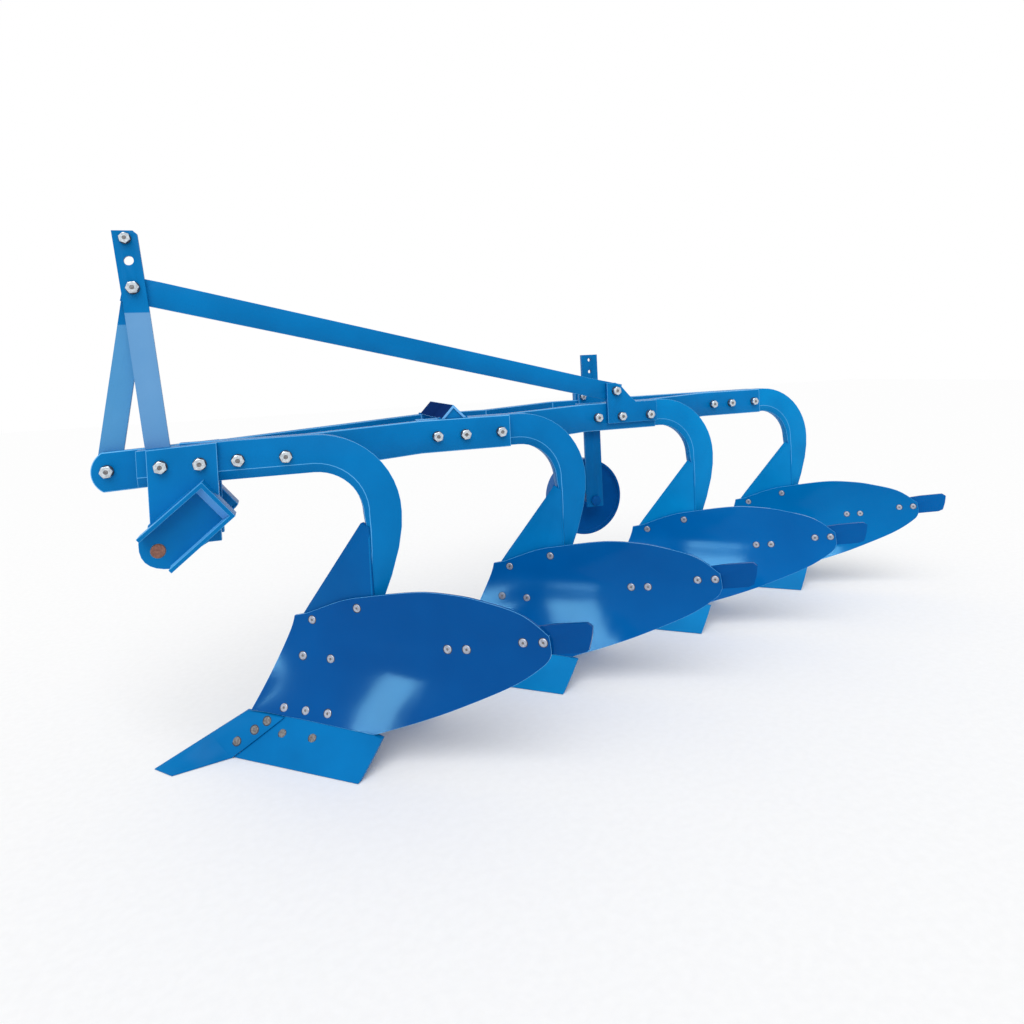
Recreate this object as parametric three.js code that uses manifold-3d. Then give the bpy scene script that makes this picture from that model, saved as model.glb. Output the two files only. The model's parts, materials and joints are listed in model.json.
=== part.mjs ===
// A mounted four furrow share plough, in millimetres.
// X points forward, Y points to the furrow side (left) and Z points up.
// The first leg stands at the front. Each further leg stands one pitch back and one pitch to the right.
import * as THREE from "three";
import { mergeVertices } from "three/addons/utils/BufferGeometryUtils.js";
import Module from "manifold-3d";

const wasm = await Module();
wasm.setup();

// Shared sizes and clearances
const seatGap = 0.3;
const curvedSeatGap = 1.5;
const cutOverrun = 6;
const weldDistance = 0.0001;
const bodyCount = 4;
const bodyPitchBack = 525;
const bodyPitchAcross = 200;
const beamCentre = 658;
const beamHeight = 80;
const boltDiameter = 16;
const boltFit = 1;
const roundFacets = 16;

// Legs: a straight arm, a half bend and a shank that tapers to a toe
const legThickness = 30;
const armReach = 280;
const bendCentreBack = 55;
const bendInnerRadius = 100;
const shankLean = 7;
const toeHeight = 275;
const chamferHeight = 19;
const chamferDepth = 8;
const chamferLeast = 1;
const shankShares = [
  [0.14, 0.93],
  [0.32, 0.79],
  [0.56, 0.56],
  [0.72, 0.36],
  [1, 0.34],
];

// Frame bars
const linkThickness = 20;
const linkFrontReach = 205;
const linkFrontBend = -40;
const linkRearBend = 207;
const linkRearEnd = -25;
const railThickness = 20;
const railNose = 371;
const railNoseRadius = 48;
const frontSlopeStart = 110;
const frontSlopeShare = 0.045;
const railFirstBend = 110;
const railMiddleFront = -370;
const railMiddleRear = -560;
const railMiddleAcross = 450;
const railRearBend = -840;
const railRearEnd = -1600;
const crossCentre = -406;
const crossHalfWidth = 32;
const crossRise = 34;
const crossWall = 6;
const crossNearAcross = 185;
const crossFarAcross = 460;

// Working surface shared by mouldboard, share, frog and tail piece
const boardLength = 606;
const boardHeight = 360;
const shinTop = 290;
const shinEase = 35;
const shinFoot = 170;
const shinSweep = 220;
const shinCurl = 45;
const shinOut = 132;
const shinLean = 23;
const twistLength = 150;
const shinAngleShares = [
  [0, 41],
  [0.08, 34],
  [0.17, 27],
  [0.29, 23],
  [0.47, 24],
  [0.67, 31],
  [0.83, 37],
  [1, 38],
];
const wingAngleShares = [
  [0, 41],
  [0.08, 40],
  [0.17, 38.5],
  [0.29, 38],
  [1, 38],
];

// Mouldboard
const boardThickness = 6;
const boardLowerShares = [
  [0.008, 0.25],
  [0.155, 0.2235],
  [0.533, 0.195],
  [0.665, 0.283],
  [0.779, 0.375],
  [0.921, 0.52],
  [0.992, 0.645],
  [1, 0.708],
];
const boardUpperShares = [
  [0, 0.806],
  [0.051, 0.825],
  [0.191, 0.914],
  [0.304, 0.953],
  [0.503, 1],
  [0.644, 0.997],
  [0.749, 0.972],
  [0.875, 0.917],
  [0.975, 0.808],
];

// Share and bar point
const bladeThickness = 12;
const bladeFrontLow = 36;
const bladeFrontTop = 94;
const bladeLowLength = 360;
const bladeTopLength = 345;
const bladeJointFront = 80;
const bladeWingHeight = 66;
const pointProud = 5;
const pointTopForward = 110;
const pointTopOut = 128;
const pointTopHeight = 88;
const pointTipForward = 302;
const pointTipOut = 124;
const pointCornerForward = 262;
const pointCornerOut = 78;
const pointEdgeThickness = 10;
const pointTipThickness = 4;
const pointSlant = 23;
const pointRearShare = 0.4;

// Landside and frog
const landsideThickness = 10;
const landsideOut = 137;
const landsideHeight = 80;
const landsideSetback = 45;
const landsideEnd = -300;
const landsideHeel = 35;
const frogThickness = 12;
const frogLap = 18;
const frogFrontAlong = 14;
const frogRearAlong = 196;
const frogShoulderAlong = 31;
const frogShoulderHeight = 315;
const frogApexFrontAlong = 173;
const frogApexFrontHeight = 500;
const frogApexRearAlong = 192;
const frogApexRearHeight = 491;
const frogHiddenHeight = 285;
const frogSoleHeight = 12;
const frogSideFront = 50;
const frogSideRear = -150;
const frogSideHeight = 78;
const frogWebThickness = 16;
const frogWebRear = -238;
const frogWebHeel = 120;
const frogRibHeight = 58;

// Tail piece and mouldboard brace
const tailThickness = 8;
const tailLap = 84;
const tailReach = 69;
const tailLowDrop = 108;
const tailTopDrop = 39;
const tailLowShares = [
  [0, 0.09],
  [0.5, 0],
  [0.93, 0.13],
  [1, 0.23],
];
const tailTopShares = [
  [0, 0.65],
  [0.5, 0.88],
  [0.93, 1],
  [1, 0.9],
];
const braceThickness = 8;
const braceHeight = 40;
const braceCentre = 246;
const braceFootRear = -228;
const braceFootFront = -174;
const braceTabStart = 365;
const braceTabEnd = 452;

// Hitch plates, pin brackets and lower hitch pin
const hitchPlateThickness = 12;
const hitchFront = 260;
const hitchRear = 131;
const hitchFoot = 500;
const hitchFootLength = 25;
const hitchEdgeRise = 50;
const hitchToeShares = [
  [-1.3, -0.9],
  [0, -1.1],
  [0.7, -0.3],
];
const pinForward = 247;
const pinHeight = 495;
const pinDiameter = 28;
const pinStandOut = 2;
const bracketTilt = 39;
const bracketWidth = 92;
const bracketLength = 155;
const bracketPinAlong = 151;
const bracketBulge = 28;
const bracketWeb = 7.4;
const bracketWall = 8;
const bracketDepth = 44;

// Mast
const mastWidth = 46;
const mastThickness = 10;
const mastTop = 1130;
const mastLeanShare = 0.092;
const mastCorner = 7;
const mastFootDrop = 66;
const mastBendRise = 17;
const mastStraight = 165;
const mastStepAcross = 20;
const mastFootForward = 241;
const topHoleDrop = 16;
const spareHoleDrop = 60;
const stayHoleDrop = 115;
const topHoleDiameter = 19;
const strutFootForward = 341;
const strutFootDrop = 74;
const strutEndLap = 18;
const hexAcrossFlats = 24;
const hexHeadHeight = 10;
const boltTail = 6;

// Stay and its rear bracket
const stayWidth = 53;
const stayThickness = 12;
const stayEndLap = 21;
const stayBoltRise = 3.5;
const stayFrontBend = 232;
const stayRearBend = -872;
const stayRearForward = -942;
const stayRearRise = 35;
const bracketPlate = 12;
const bracketFront = -914;
const bracketPeakRise = 59;
const bracketRear = -1075;
const bracketShoulder = -986;

// Gauge wheel
const postCentre = -989.5;
const postWidth = 56;
const postThickness = 12;
const postTop = 845;
const postFootDrop = 21;
const postHoleDiameter = 12;
const postHoleTop = 828;
const postHolePitch = 39;
const postHoleCount = 7;
const clampWall = 10;
const clampFront = -932;
const clampRear = -1040;
const clampLap = 22;
const slideFit = 0.5;
const axleDiameter = 20;
const axleHeight = 358;
const axleShoulder = 32;
const wheelAcross = 752;
const wheelDiameter = 260;
const wheelRimWidth = 50;
const wheelRimWall = 7;
const wheelHubDiameter = 50;
const wheelHubLength = 72;
const wheelDiscWall = 5;
const wheelDiscNear = 10;
const wheelDish = 8;
const wheelFacets = 48;
const bushWall = 3;
const bushFit = 0.3;

// Levels that follow from the sizes above
const beamTop = beamCentre + beamHeight / 2;
const beamBottom = beamCentre - beamHeight / 2;
const linkCentreFar = -legThickness - seatGap - linkThickness / 2;
const linkCentreNear = seatGap + linkThickness / 2;
const railFrontCentre = linkCentreFar - linkThickness / 2 - seatGap - railThickness / 2;
const lastLegAcross = -(bodyCount - 1) * bodyPitchAcross;
const railRearCentre = lastLegAcross - legThickness - seatGap - railThickness / 2;
const boltHole = boltDiameter + boltFit;
const beamFrontDrop = (x) => frontSlopeShare * Math.max(x - frontSlopeStart, 0);
const stayRearHeight = beamTop + stayRearRise;
const bracketPeak = beamTop + bracketPeakRise;
const postBottom = axleHeight - postFootDrop;
const clampTop = beamTop + clampLap;
const clampBottom = beamBottom - clampLap;

// Finishes
const blueEnamel = () => paint(0x0a6cb8, 0.32, 0.1);
const mastEnamel = () => paint(0x5a9ad6, 0.35, 0.1);
const boardEnamel = () => paint(0x0a5ca8, 0.22, 0.15);
const zinc = () => paint(0xc9ccd0, 0.35, 0.9);
const rustySteel = () => paint(0x7a5a4a, 0.65, 0.6);
const bronze = () => paint(0x9c7a3c, 0.45, 0.85);

function paint(color, roughness, metalness) {
  return new THREE.MeshStandardMaterial({ color, roughness, metalness });
}

// Geometry to solid and back
function solidOf(geometry) {
  const bare = geometry.clone();
  bare.deleteAttribute("normal");
  bare.deleteAttribute("uv");
  const merged = mergeVertices(bare, weldDistance);
  const vertProperties = merged.getAttribute("position").array;
  const triVerts = new Uint32Array(merged.index.array);
  return new wasm.Manifold(new wasm.Mesh({ numProp: 3, vertProperties, triVerts }));
}

function geometryOf(solid) {
  const mesh = solid.getMesh();
  const geometry = new THREE.BufferGeometry();
  geometry.setAttribute("position", new THREE.BufferAttribute(mesh.vertProperties, 3));
  geometry.setIndex(new THREE.BufferAttribute(mesh.triVerts, 1));
  geometry.computeVertexNormals();
  return geometry;
}

const joined = (...geometries) =>
  geometryOf(geometries.map(solidOf).reduce((sum, solid) => sum.add(solid)));
const cut = (body, ...tools) =>
  geometryOf(tools.map(solidOf).reduce((rest, tool) => rest.subtract(tool), solidOf(body)));
const common = (one, other) => geometryOf(solidOf(one).intersect(solidOf(other)));

// A closed mesh from points and triangles, turned outwards if its volume comes out negative
function closedMesh(points, triangles) {
  let volume = 0;
  for (const [a, b, c] of triangles) {
    volume += points[a].dot(points[b].clone().cross(points[c]));
  }
  const facing = volume < 0 ? triangles.map(([a, b, c]) => [a, c, b]) : triangles;
  const geometry = new THREE.BufferGeometry().setFromPoints(points);
  geometry.setIndex(facing.flat());
  geometry.computeVertexNormals();
  return geometry;
}

// Rings of points joined one to the next, with flat ends
function loft(rings) {
  const size = rings[0].length;
  const triangles = [];
  for (let r = 0; r + 1 < rings.length; r++) {
    for (let i = 0; i < size; i++) {
      const a = r * size + i;
      const b = r * size + ((i + 1) % size);
      triangles.push([a, b, b + size], [a, b + size, a + size]);
    }
  }
  const last = (rings.length - 1) * size;
  for (let i = 1; i + 1 < size; i++) {
    triangles.push([0, i + 1, i], [last, last + i, last + i + 1]);
  }
  return closedMesh(rings.flat(), triangles);
}

// Two grids of points, front and back, closed round their border
function shell(front, back) {
  const rows = front.length;
  const columns = front[0].length;
  const points = [...front.flat(), ...back.flat()];
  const behind = rows * columns;
  const at = (r, c) => r * columns + c;
  const triangles = [];
  for (let r = 0; r + 1 < rows; r++) {
    for (let c = 0; c + 1 < columns; c++) {
      const [a, b, d, e] = [at(r, c), at(r, c + 1), at(r + 1, c + 1), at(r + 1, c)];
      triangles.push([a, b, d], [a, d, e]);
      triangles.push([behind + a, behind + d, behind + b], [behind + a, behind + e, behind + d]);
    }
  }
  const border = [];
  for (let c = 0; c < columns; c++) border.push(at(0, c));
  for (let r = 1; r < rows; r++) border.push(at(r, columns - 1));
  for (let c = columns - 2; c >= 0; c--) border.push(at(rows - 1, c));
  for (let r = rows - 2; r > 0; r--) border.push(at(r, 0));
  border.forEach((a, i) => {
    const b = border[(i + 1) % border.length];
    triangles.push([a, behind + a, behind + b], [a, behind + b, b]);
  });
  return closedMesh(points, triangles);
}

// A plate cut from an outline in X and Z, from its near face away to the far side
function sidePlate(outline, nearFace, thickness, holes = []) {
  const points = outline.map(([x, z]) => new THREE.Vector2(x, z));
  if (THREE.ShapeUtils.isClockWise(points)) points.reverse();
  const shape = new THREE.Shape(points);
  for (const [x, z, diameter] of holes) {
    const hole = new THREE.Path();
    hole.absarc(x, z, diameter / 2, 0, 2 * Math.PI, true);
    shape.holes.push(hole);
  }
  const options = { depth: thickness, bevelEnabled: false, curveSegments: roundFacets };
  const geometry = new THREE.ExtrudeGeometry(shape, options);
  geometry.rotateX(Math.PI / 2);
  geometry.translate(0, nearFace, 0);
  return geometry;
}

// A slab cut from an outline in X and Y, standing on a level
function planSlab(outline, bottom, height) {
  const shape = new THREE.Shape(outline.map(([x, y]) => new THREE.Vector2(x, y)));
  const geometry = new THREE.ExtrudeGeometry(shape, { depth: height, bevelEnabled: false });
  geometry.translate(0, 0, bottom);
  return geometry;
}

// A flat bar on edge that follows a bent centre line in X and Y
function planBar(path, thickness, bottom, height) {
  const centre = path.map(([x, y]) => new THREE.Vector2(x, y));
  const heading = (i) => centre[i + 1].clone().sub(centre[i]).normalize();
  const sides = [1, -1].map((side) =>
    centre.map((point, i) => {
      const before = heading(Math.max(i - 1, 0));
      const after = heading(Math.min(i, centre.length - 2));
      const middle = before.clone().add(after).normalize();
      const normal = new THREE.Vector2(-middle.y, middle.x);
      const reach = thickness / 2 / middle.dot(after);
      return [point.x + side * reach * normal.x, point.y + side * reach * normal.y];
    }),
  );
  return planSlab([...sides[0], ...sides[1].reverse()], bottom, height);
}

// A round bar across the plough, from its near end to its far end
function crossBar(x, z, diameter, nearEnd, farEnd, sides = roundFacets) {
  const length = nearEnd - farEnd;
  const geometry = new THREE.CylinderGeometry(diameter / 2, diameter / 2, length, sides);
  geometry.rotateY(Math.PI / sides);
  geometry.translate(x, farEnd + length / 2, z);
  return geometry;
}

// A hexagon bolt with its nut, gripping what lies between two faces
function hexBolt(x, z, diameter, nearFace, farFace) {
  const corners = (hexAcrossFlats * diameter) / boltDiameter / Math.cos(Math.PI / 6);
  const near = nearFace + seatGap;
  const far = farFace - seatGap;
  return joined(
    crossBar(x, z, corners, near + hexHeadHeight, near, 6),
    crossBar(x, z, diameter, near + hexHeadHeight / 2, far - hexHeadHeight - boltTail),
    crossBar(x, z, corners, far, far - hexHeadHeight, 6),
  );
}

// A smooth curve through a table of places and values
function smoothTable(table, place) {
  const spot = THREE.MathUtils.clamp(place, table[0][0], table[table.length - 1][0]);
  let i = 0;
  while (i + 2 < table.length && spot > table[i + 1][0]) i++;
  const rise = (n) => (table[n + 1][1] - table[n][1]) / (table[n + 1][0] - table[n][0]);
  const slope = (n) => {
    if (n === 0) return rise(0);
    if (n === table.length - 1) return rise(n - 1);
    const before = table[n][0] - table[n - 1][0];
    const after = table[n + 1][0] - table[n][0];
    return (before * rise(n) + after * rise(n - 1)) / (before + after);
  };
  const width = table[i + 1][0] - table[i][0];
  const t = (spot - table[i][0]) / width;
  const start = table[i][1] * (1 + 2 * t) * (1 - t) ** 2 + width * slope(i) * t * (1 - t) ** 2;
  const end = table[i + 1][1] * t * t * (3 - 2 * t) + width * slope(i + 1) * t * t * (t - 1);
  return start + end;
}

// A height that levels off smoothly about the shin's top
function easedHeight(height) {
  const below = shinTop + shinEase - height;
  if (below <= 0) return shinTop;
  if (below >= 2 * shinEase) return height;
  return shinTop - (below * below) / (4 * shinEase);
}

// A point of the working surface, this far along from the shin, at a height, and this far behind the face.
// The shin sweeps back as it rises. From it the surface runs back and out at an angle to the travel,
// which turns from the shin's angle to the wing's over the twist length.
function workingPoint(along, height, behind = 0) {
  const rise = easedHeight(height) / shinTop;
  const point = new THREE.Vector3(
    shinFoot - shinSweep * rise + shinCurl * rise * rise,
    shinLean * rise - shinOut,
    height,
  );
  const shinAngle = THREE.MathUtils.degToRad(smoothTable(shinAngleShares, height / boardHeight));
  const wingAngle = THREE.MathUtils.degToRad(smoothTable(wingAngleShares, height / boardHeight));
  const angleAt = (distance) =>
    shinAngle + (wingAngle - shinAngle) * THREE.MathUtils.clamp(distance / twistLength, 0, 1);
  const steps = 24;
  for (let i = 0; i < steps; i++) {
    const angle = angleAt(((i + 0.5) * along) / steps);
    point.x -= (Math.cos(angle) * along) / steps;
    point.y += (Math.sin(angle) * along) / steps;
  }
  const angle = angleAt(along);
  point.x -= Math.sin(angle) * behind;
  point.y -= Math.cos(angle) * behind;
  return point;
}

// How far along the surface lies a given Y, by halving the span
function alongAt(side, height, behind) {
  let low = 0;
  let high = boardLength;
  for (let i = 0; i < 30; i++) {
    const middle = (low + high) / 2;
    if (workingPoint(middle, height, behind).y < side) low = middle;
    else high = middle;
  }
  return (low + high) / 2;
}

// A piece of the working surface between a lower and an upper edge given column by column
function surfacePlate(lower, upper, rows, front, back) {
  const grid = (behind) =>
    Array.from({ length: rows + 1 }, (_, r) =>
      lower.map((low, c) => {
        const spot = low.clone().lerp(upper[c], r / rows);
        return workingPoint(spot.x, spot.y, behind);
      }),
    );
  return shell(grid(front), grid(back));
}

const scaled = (shares, width, height) =>
  shares.map(([a, b]) => new THREE.Vector2(a * width, b * height));
const straight = (a, b, steps) => new THREE.LineCurve(a, b).getPoints(steps);
const curved = (points, steps) => new THREE.SplineCurve(points).getPoints(steps);
const spot = (x, y) => new THREE.Vector2(x, y);

// Leg: a bar of constant section round the bend, with the lower near edge bevelled, then a tapering shank
function makeLeg() {
  const outerRadius = bendInnerRadius + beamHeight;
  const bendHeight = beamBottom - bendInnerRadius;
  const stations = [armReach, frontSlopeStart].map((x) => [
    spot(x, beamTop - beamFrontDrop(x)),
    spot(x, beamBottom),
    1,
  ]);
  const bendSteps = 12;
  for (let i = 0; i <= bendSteps; i++) {
    const angle = Math.PI / 2 + (Math.PI / 2) * (i / bendSteps);
    const way = spot(Math.cos(angle), Math.sin(angle));
    const centre = spot(-bendCentreBack, bendHeight);
    const outer = centre.clone().addScaledVector(way, outerRadius);
    const inner = centre.clone().addScaledVector(way, bendInnerRadius);
    stations.push([outer, inner, 1 - i / bendSteps / 2]);
  }
  for (const [dropShare, widthShare] of shankShares) {
    const height = THREE.MathUtils.lerp(bendHeight, toeHeight, dropShare);
    const front = -bendCentreBack - bendInnerRadius - shankLean * Math.min(dropShare * 4, 1);
    const fade = Math.max(0.5 - dropShare, 0);
    stations.push([spot(front - beamHeight * widthShare, height), spot(front, height), fade]);
  }
  return loft(
    stations.map(([outer, inner, fade]) => {
      const across = outer.clone().sub(inner).normalize();
      const edge = inner.clone().addScaledVector(across, chamferLeast + chamferHeight * fade);
      const depth = chamferLeast + (chamferDepth - chamferLeast) * fade;
      return [
        new THREE.Vector3(outer.x, 0, outer.y),
        new THREE.Vector3(edge.x, 0, edge.y),
        new THREE.Vector3(inner.x, -depth, inner.y),
        new THREE.Vector3(inner.x, -legThickness, inner.y),
        new THREE.Vector3(outer.x, -legThickness, outer.y),
      ];
    }),
  );
}

// Mouldboard: its lower edge is the joint line and then the free edge, its upper edge the notch and the crest
function makeMouldboard() {
  const low = scaled(boardLowerShares, boardLength, boardHeight);
  const high = scaled(boardUpperShares, boardLength, boardHeight);
  const lower = [
    ...straight(low[0], low[1], 3),
    ...straight(low[1], low[2], 5).slice(1),
    ...curved(low.slice(2), 11).slice(1),
  ];
  const upper = [...straight(high[0], high[1], 1), ...curved(high.slice(1), 18).slice(1)];
  return surfacePlate(lower, upper, 8, 0, boardThickness);
}

// Share: the lower part of the working surface, down to the cutting edge on the ground
function makeShare() {
  const lower = straight(spot(bladeFrontLow, 0), spot(bladeLowLength, 0), 8);
  const joint = scaled(boardLowerShares, boardLength, boardHeight);
  const drop = 2 * seatGap;
  const upper = [
    ...straight(spot(joint[1].x, joint[1].y - drop), spot(joint[2].x, joint[2].y - drop), 7),
    spot(bladeTopLength, bladeWingHeight),
  ];
  return surfacePlate(lower, upper, 4, 0, bladeThickness);
}

// Bar point: a forged nose that twists from the share's front edge and the shin to a cutting tip on the ground
function makeBarPoint() {
  const steps = 10;
  const turn = THREE.MathUtils.degToRad(pointSlant);
  const inward = new THREE.Vector3(-Math.sin(turn), -Math.cos(turn), 0);
  const top = new THREE.Vector3(pointTopForward, -pointTopOut, pointTopHeight);
  const tip = new THREE.Vector3(pointTipForward, -pointTipOut, 0);
  const corner = new THREE.Vector3(pointCornerForward, -pointCornerOut, 0);
  const front = [];
  const back = [];
  for (let i = 0; i <= steps; i++) {
    const t = i / steps;
    const left = top.clone().lerp(tip, t);
    const thickness = THREE.MathUtils.lerp(pointEdgeThickness, pointTipThickness, t);
    const leftBack = left.clone().addScaledVector(inward, thickness);
    const rise = Math.max(1 - t / pointRearShare, 0);
    const along = THREE.MathUtils.lerp(bladeFrontLow, bladeFrontTop, rise) - 2 * seatGap;
    const height = (bladeJointFront - 2 * seatGap) * rise;
    const right = workingPoint(along, height, -pointProud);
    const rightBack = workingPoint(along, height, bladeThickness);
    if (t > pointRearShare) {
      const out = (t - pointRearShare) / (1 - pointRearShare);
      right.lerp(corner, out);
      rightBack.lerp(corner.clone().addScaledVector(inward, pointTipThickness), out);
    }
    const row = (a, b) => [0, 1, 2, 3].map((n) => a.clone().lerp(b, n / 3));
    front.push(row(left, right));
    back.push(row(leftBack, rightBack));
  }
  return shell(front, back);
}

// Landside: the bar that slides along the furrow wall
function makeLandside() {
  const heights = [0, 0.5, 1].map((share) => share * landsideHeight);
  const front = heights.map((z) => [workingPoint(0, z).x - landsideSetback, z]);
  const rear = [
    [landsideEnd + landsideHeel, landsideHeight],
    [landsideEnd, landsideHeight - landsideHeel],
    [landsideEnd, 0],
  ];
  return sidePlate([...front, ...rear], landsideThickness - landsideOut, landsideThickness);
}

// Frog: the welded seat that holds share, mouldboard and landside to the leg
function makeFrog(leg) {
  const inFront = boardThickness + curvedSeatGap;
  const underShare = bladeThickness + curvedSeatGap;
  const middle = underShare + frogThickness / 2;
  const joint = scaled(boardLowerShares, boardLength, boardHeight);
  const jointAt = (along) =>
    smoothJoint(along, joint) + 2 * seatGap;
  const sideInner = landsideThickness - landsideOut;

  const faceRows = [];
  const lowRows = 5;
  for (let i = 0; i < lowRows; i++) {
    const share = i / (lowRows - 1);
    faceRows.push([
      spot(frogFrontAlong, THREE.MathUtils.lerp(jointAt(frogFrontAlong), frogHiddenHeight, share)),
      spot(frogRearAlong, THREE.MathUtils.lerp(jointAt(frogRearAlong), frogHiddenHeight, share)),
    ]);
  }
  const highRows = 3;
  const shoulder = spot(frogShoulderAlong, frogShoulderHeight);
  const apexFront = spot(frogApexFrontAlong, frogApexFrontHeight);
  const apexRear = spot(frogApexRearAlong, frogApexRearHeight);
  const lastRear = faceRows[lowRows - 1][1];
  for (let i = 0; i <= highRows; i++) {
    const share = i / highRows;
    const rearShare = THREE.MathUtils.lerp(1 / (highRows + 1), 1, share);
    faceRows.push([shoulder.clone().lerp(apexFront, share), lastRear.clone().lerp(apexRear, rearShare)]);
  }
  const face = surfacePlate(
    faceRows.map((row) => row[0]),
    faceRows.map((row) => row[1]),
    6,
    inFront,
    inFront + frogThickness,
  );

  const seatTop = (along) => jointAt(along) + frogLap;
  const seat = surfacePlate(
    straight(spot(frogFrontAlong, frogSoleHeight), spot(frogRearAlong, frogSoleHeight), 6),
    straight(spot(frogFrontAlong, seatTop(frogFrontAlong)), spot(frogRearAlong, seatTop(frogRearAlong)), 6),
    3,
    underShare,
    underShare + frogThickness,
  );

  const sideHeights = [0, 0.33, 0.67, 1].map((share) =>
    THREE.MathUtils.lerp(frogSoleHeight, frogSideHeight, share),
  );
  const cheek = sidePlate(
    [
      ...sideHeights.map((z) => [workingPoint(frogSideFront, z, middle).x, z]),
      [frogSideRear, frogSideHeight],
      [frogSideRear, frogSoleHeight],
    ],
    sideInner + seatGap + frogThickness,
    frogThickness,
  );

  const webNear = -(legThickness - frogWebThickness) / 2;
  const webCentre = webNear - frogWebThickness / 2;
  const webTop = toeHeight - seatGap;
  const webHeights = [0, 0.25, 0.5, 0.75, 1].map((share) =>
    THREE.MathUtils.lerp(frogRibHeight, webTop, share),
  );
  const webSeat = underShare + frogThickness / 4;
  const webFront = (z) => workingPoint(alongAt(webNear, z, webSeat), z, webSeat).x;
  const web = sidePlate(
    [
      ...webHeights.map((z) => [webFront(z), z]),
      [frogWebRear, webTop],
      [frogWebRear, webTop - frogWebHeel],
      [frogSideRear, frogRibHeight],
    ],
    webNear,
    frogWebThickness,
  );

  const ribLevel = frogRibHeight + frogThickness / 2;
  const ribEnd = alongAt(webCentre, ribLevel, middle);
  const ribFront = [0, 0.33, 0.67, 1].map((share) => {
    const point = workingPoint(THREE.MathUtils.lerp(frogSideFront, ribEnd, share), ribLevel, middle);
    return [point.x, point.y];
  });
  const rib = planSlab(
    [...ribFront, [frogSideRear, webCentre], [frogSideRear, sideInner + frogThickness / 2]],
    frogRibHeight,
    frogThickness,
  );

  const wallSide = sideInner + seatGap;
  const beyond = planSlab(
    [
      [shinFoot, wallSide],
      [shinFoot, wallSide - shinOut],
      [landsideEnd, wallSide - shinOut],
      [landsideEnd, wallSide],
    ],
    -cutOverrun,
    frogApexFrontHeight,
  );
  const ahead = leg.clone().translate(seatGap, 0, 0);
  const beside = leg.clone().translate(0, seatGap, 0);
  return cut(joined(face, seat, cheek, web, rib), beyond, ahead, beside);
}

// Height of the joint between share and mouldboard, straight between its three corners
function smoothJoint(along, joint) {
  const first = along < joint[1].x ? 0 : 1;
  const share = (along - joint[first].x) / (joint[first + 1].x - joint[first].x);
  return THREE.MathUtils.lerp(joint[first].y, joint[first + 1].y, share);
}

// Tail piece: the extension bolted behind the end of the mouldboard
function makeTailPiece(fitted) {
  const front = boardThickness + seatGap;
  const place = ([a, b]) =>
    spot(
      THREE.MathUtils.lerp(boardLength - tailLap, boardLength + tailReach, a),
      boardHeight - THREE.MathUtils.lerp(tailLowDrop, tailTopDrop, b),
    );
  const low = tailLowShares.map(place);
  const high = tailTopShares.map(place);
  return cut(surfacePlate(low, high, 2, front, front + tailThickness), ...fitted);
}

// Brace: a bent flat bar from the frog's web to the back of the mouldboard
function makeBrace(fitted) {
  const level = braceCentre;
  const behind = boardThickness + seatGap + braceThickness / 2;
  const webNear = -(legThickness - frogWebThickness) / 2;
  const side = webNear + seatGap + braceThickness / 2;
  const tabStart = workingPoint(braceTabStart, level, behind);
  const tabEnd = workingPoint(braceTabEnd, level, behind);
  const bar = planBar(
    [
      [braceFootFront, side],
      [braceFootRear, side],
      [tabStart.x, tabStart.y],
      [tabEnd.x, tabEnd.y],
    ],
    braceThickness,
    braceCentre - braceHeight / 2,
    braceHeight,
  );
  return cut(bar, ...fitted);
}

// Link: a flat bar that steps from the far side of one arm to the near side of the next
function makeLink() {
  return planBar(
    [
      [linkFrontReach, linkCentreFar],
      [linkFrontBend, linkCentreFar],
      [linkRearBend - bodyPitchBack, linkCentreNear - bodyPitchAcross],
      [linkRearEnd - bodyPitchBack, linkCentreNear - bodyPitchAcross],
    ],
    linkThickness,
    beamBottom,
    beamHeight,
  );
}

// Far rail: one bar that steps back three times, with a rounded nose
function makeFarRail() {
  const bar = planBar(
    [
      [railNose, railFrontCentre],
      [railFirstBend, railFrontCentre],
      [railMiddleFront, -railMiddleAcross],
      [railMiddleRear, -railMiddleAcross],
      [railRearBend, railRearCentre],
      [railRearEnd, railRearCentre],
    ],
    railThickness,
    beamBottom - beamHeight,
    2 * beamHeight,
  );
  const nose = new THREE.Path();
  const noseCentre = railNose - railNoseRadius;
  const noseHeight = beamCentre - beamFrontDrop(noseCentre);
  const turn = Math.asin(beamHeight / 2 / railNoseRadius);
  nose.absarc(noseCentre, noseHeight, railNoseRadius, -turn, turn, false);
  const arc = nose.getPoints(roundFacets).map((p) => [p.x, p.y]);
  const outline = [
    [railRearEnd - cutOverrun, beamBottom],
    [frontSlopeStart, beamBottom],
    ...arc,
    [frontSlopeStart, beamTop],
    [railRearEnd - cutOverrun, beamTop],
  ];
  return common(bar, sidePlate(outline, 0, railMiddleAcross * 2));
}

// Cross member: an angle iron laid like a roof over the tops of the bars
function makeCrossMember() {
  const foot = beamTop + seatGap;
  const slant = Math.hypot(crossRise, crossHalfWidth) / crossRise;
  const wall = crossWall * slant;
  const outline = [
    [crossCentre - crossHalfWidth, foot],
    [crossCentre, foot + crossRise],
    [crossCentre + crossHalfWidth, foot],
    [crossCentre + crossHalfWidth - wall, foot],
    [crossCentre, foot + crossRise - (wall * crossRise) / crossHalfWidth],
    [crossCentre - crossHalfWidth + wall, foot],
  ];
  return sidePlate(outline, -crossNearAcross, crossFarAcross - crossNearAcross);
}

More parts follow.
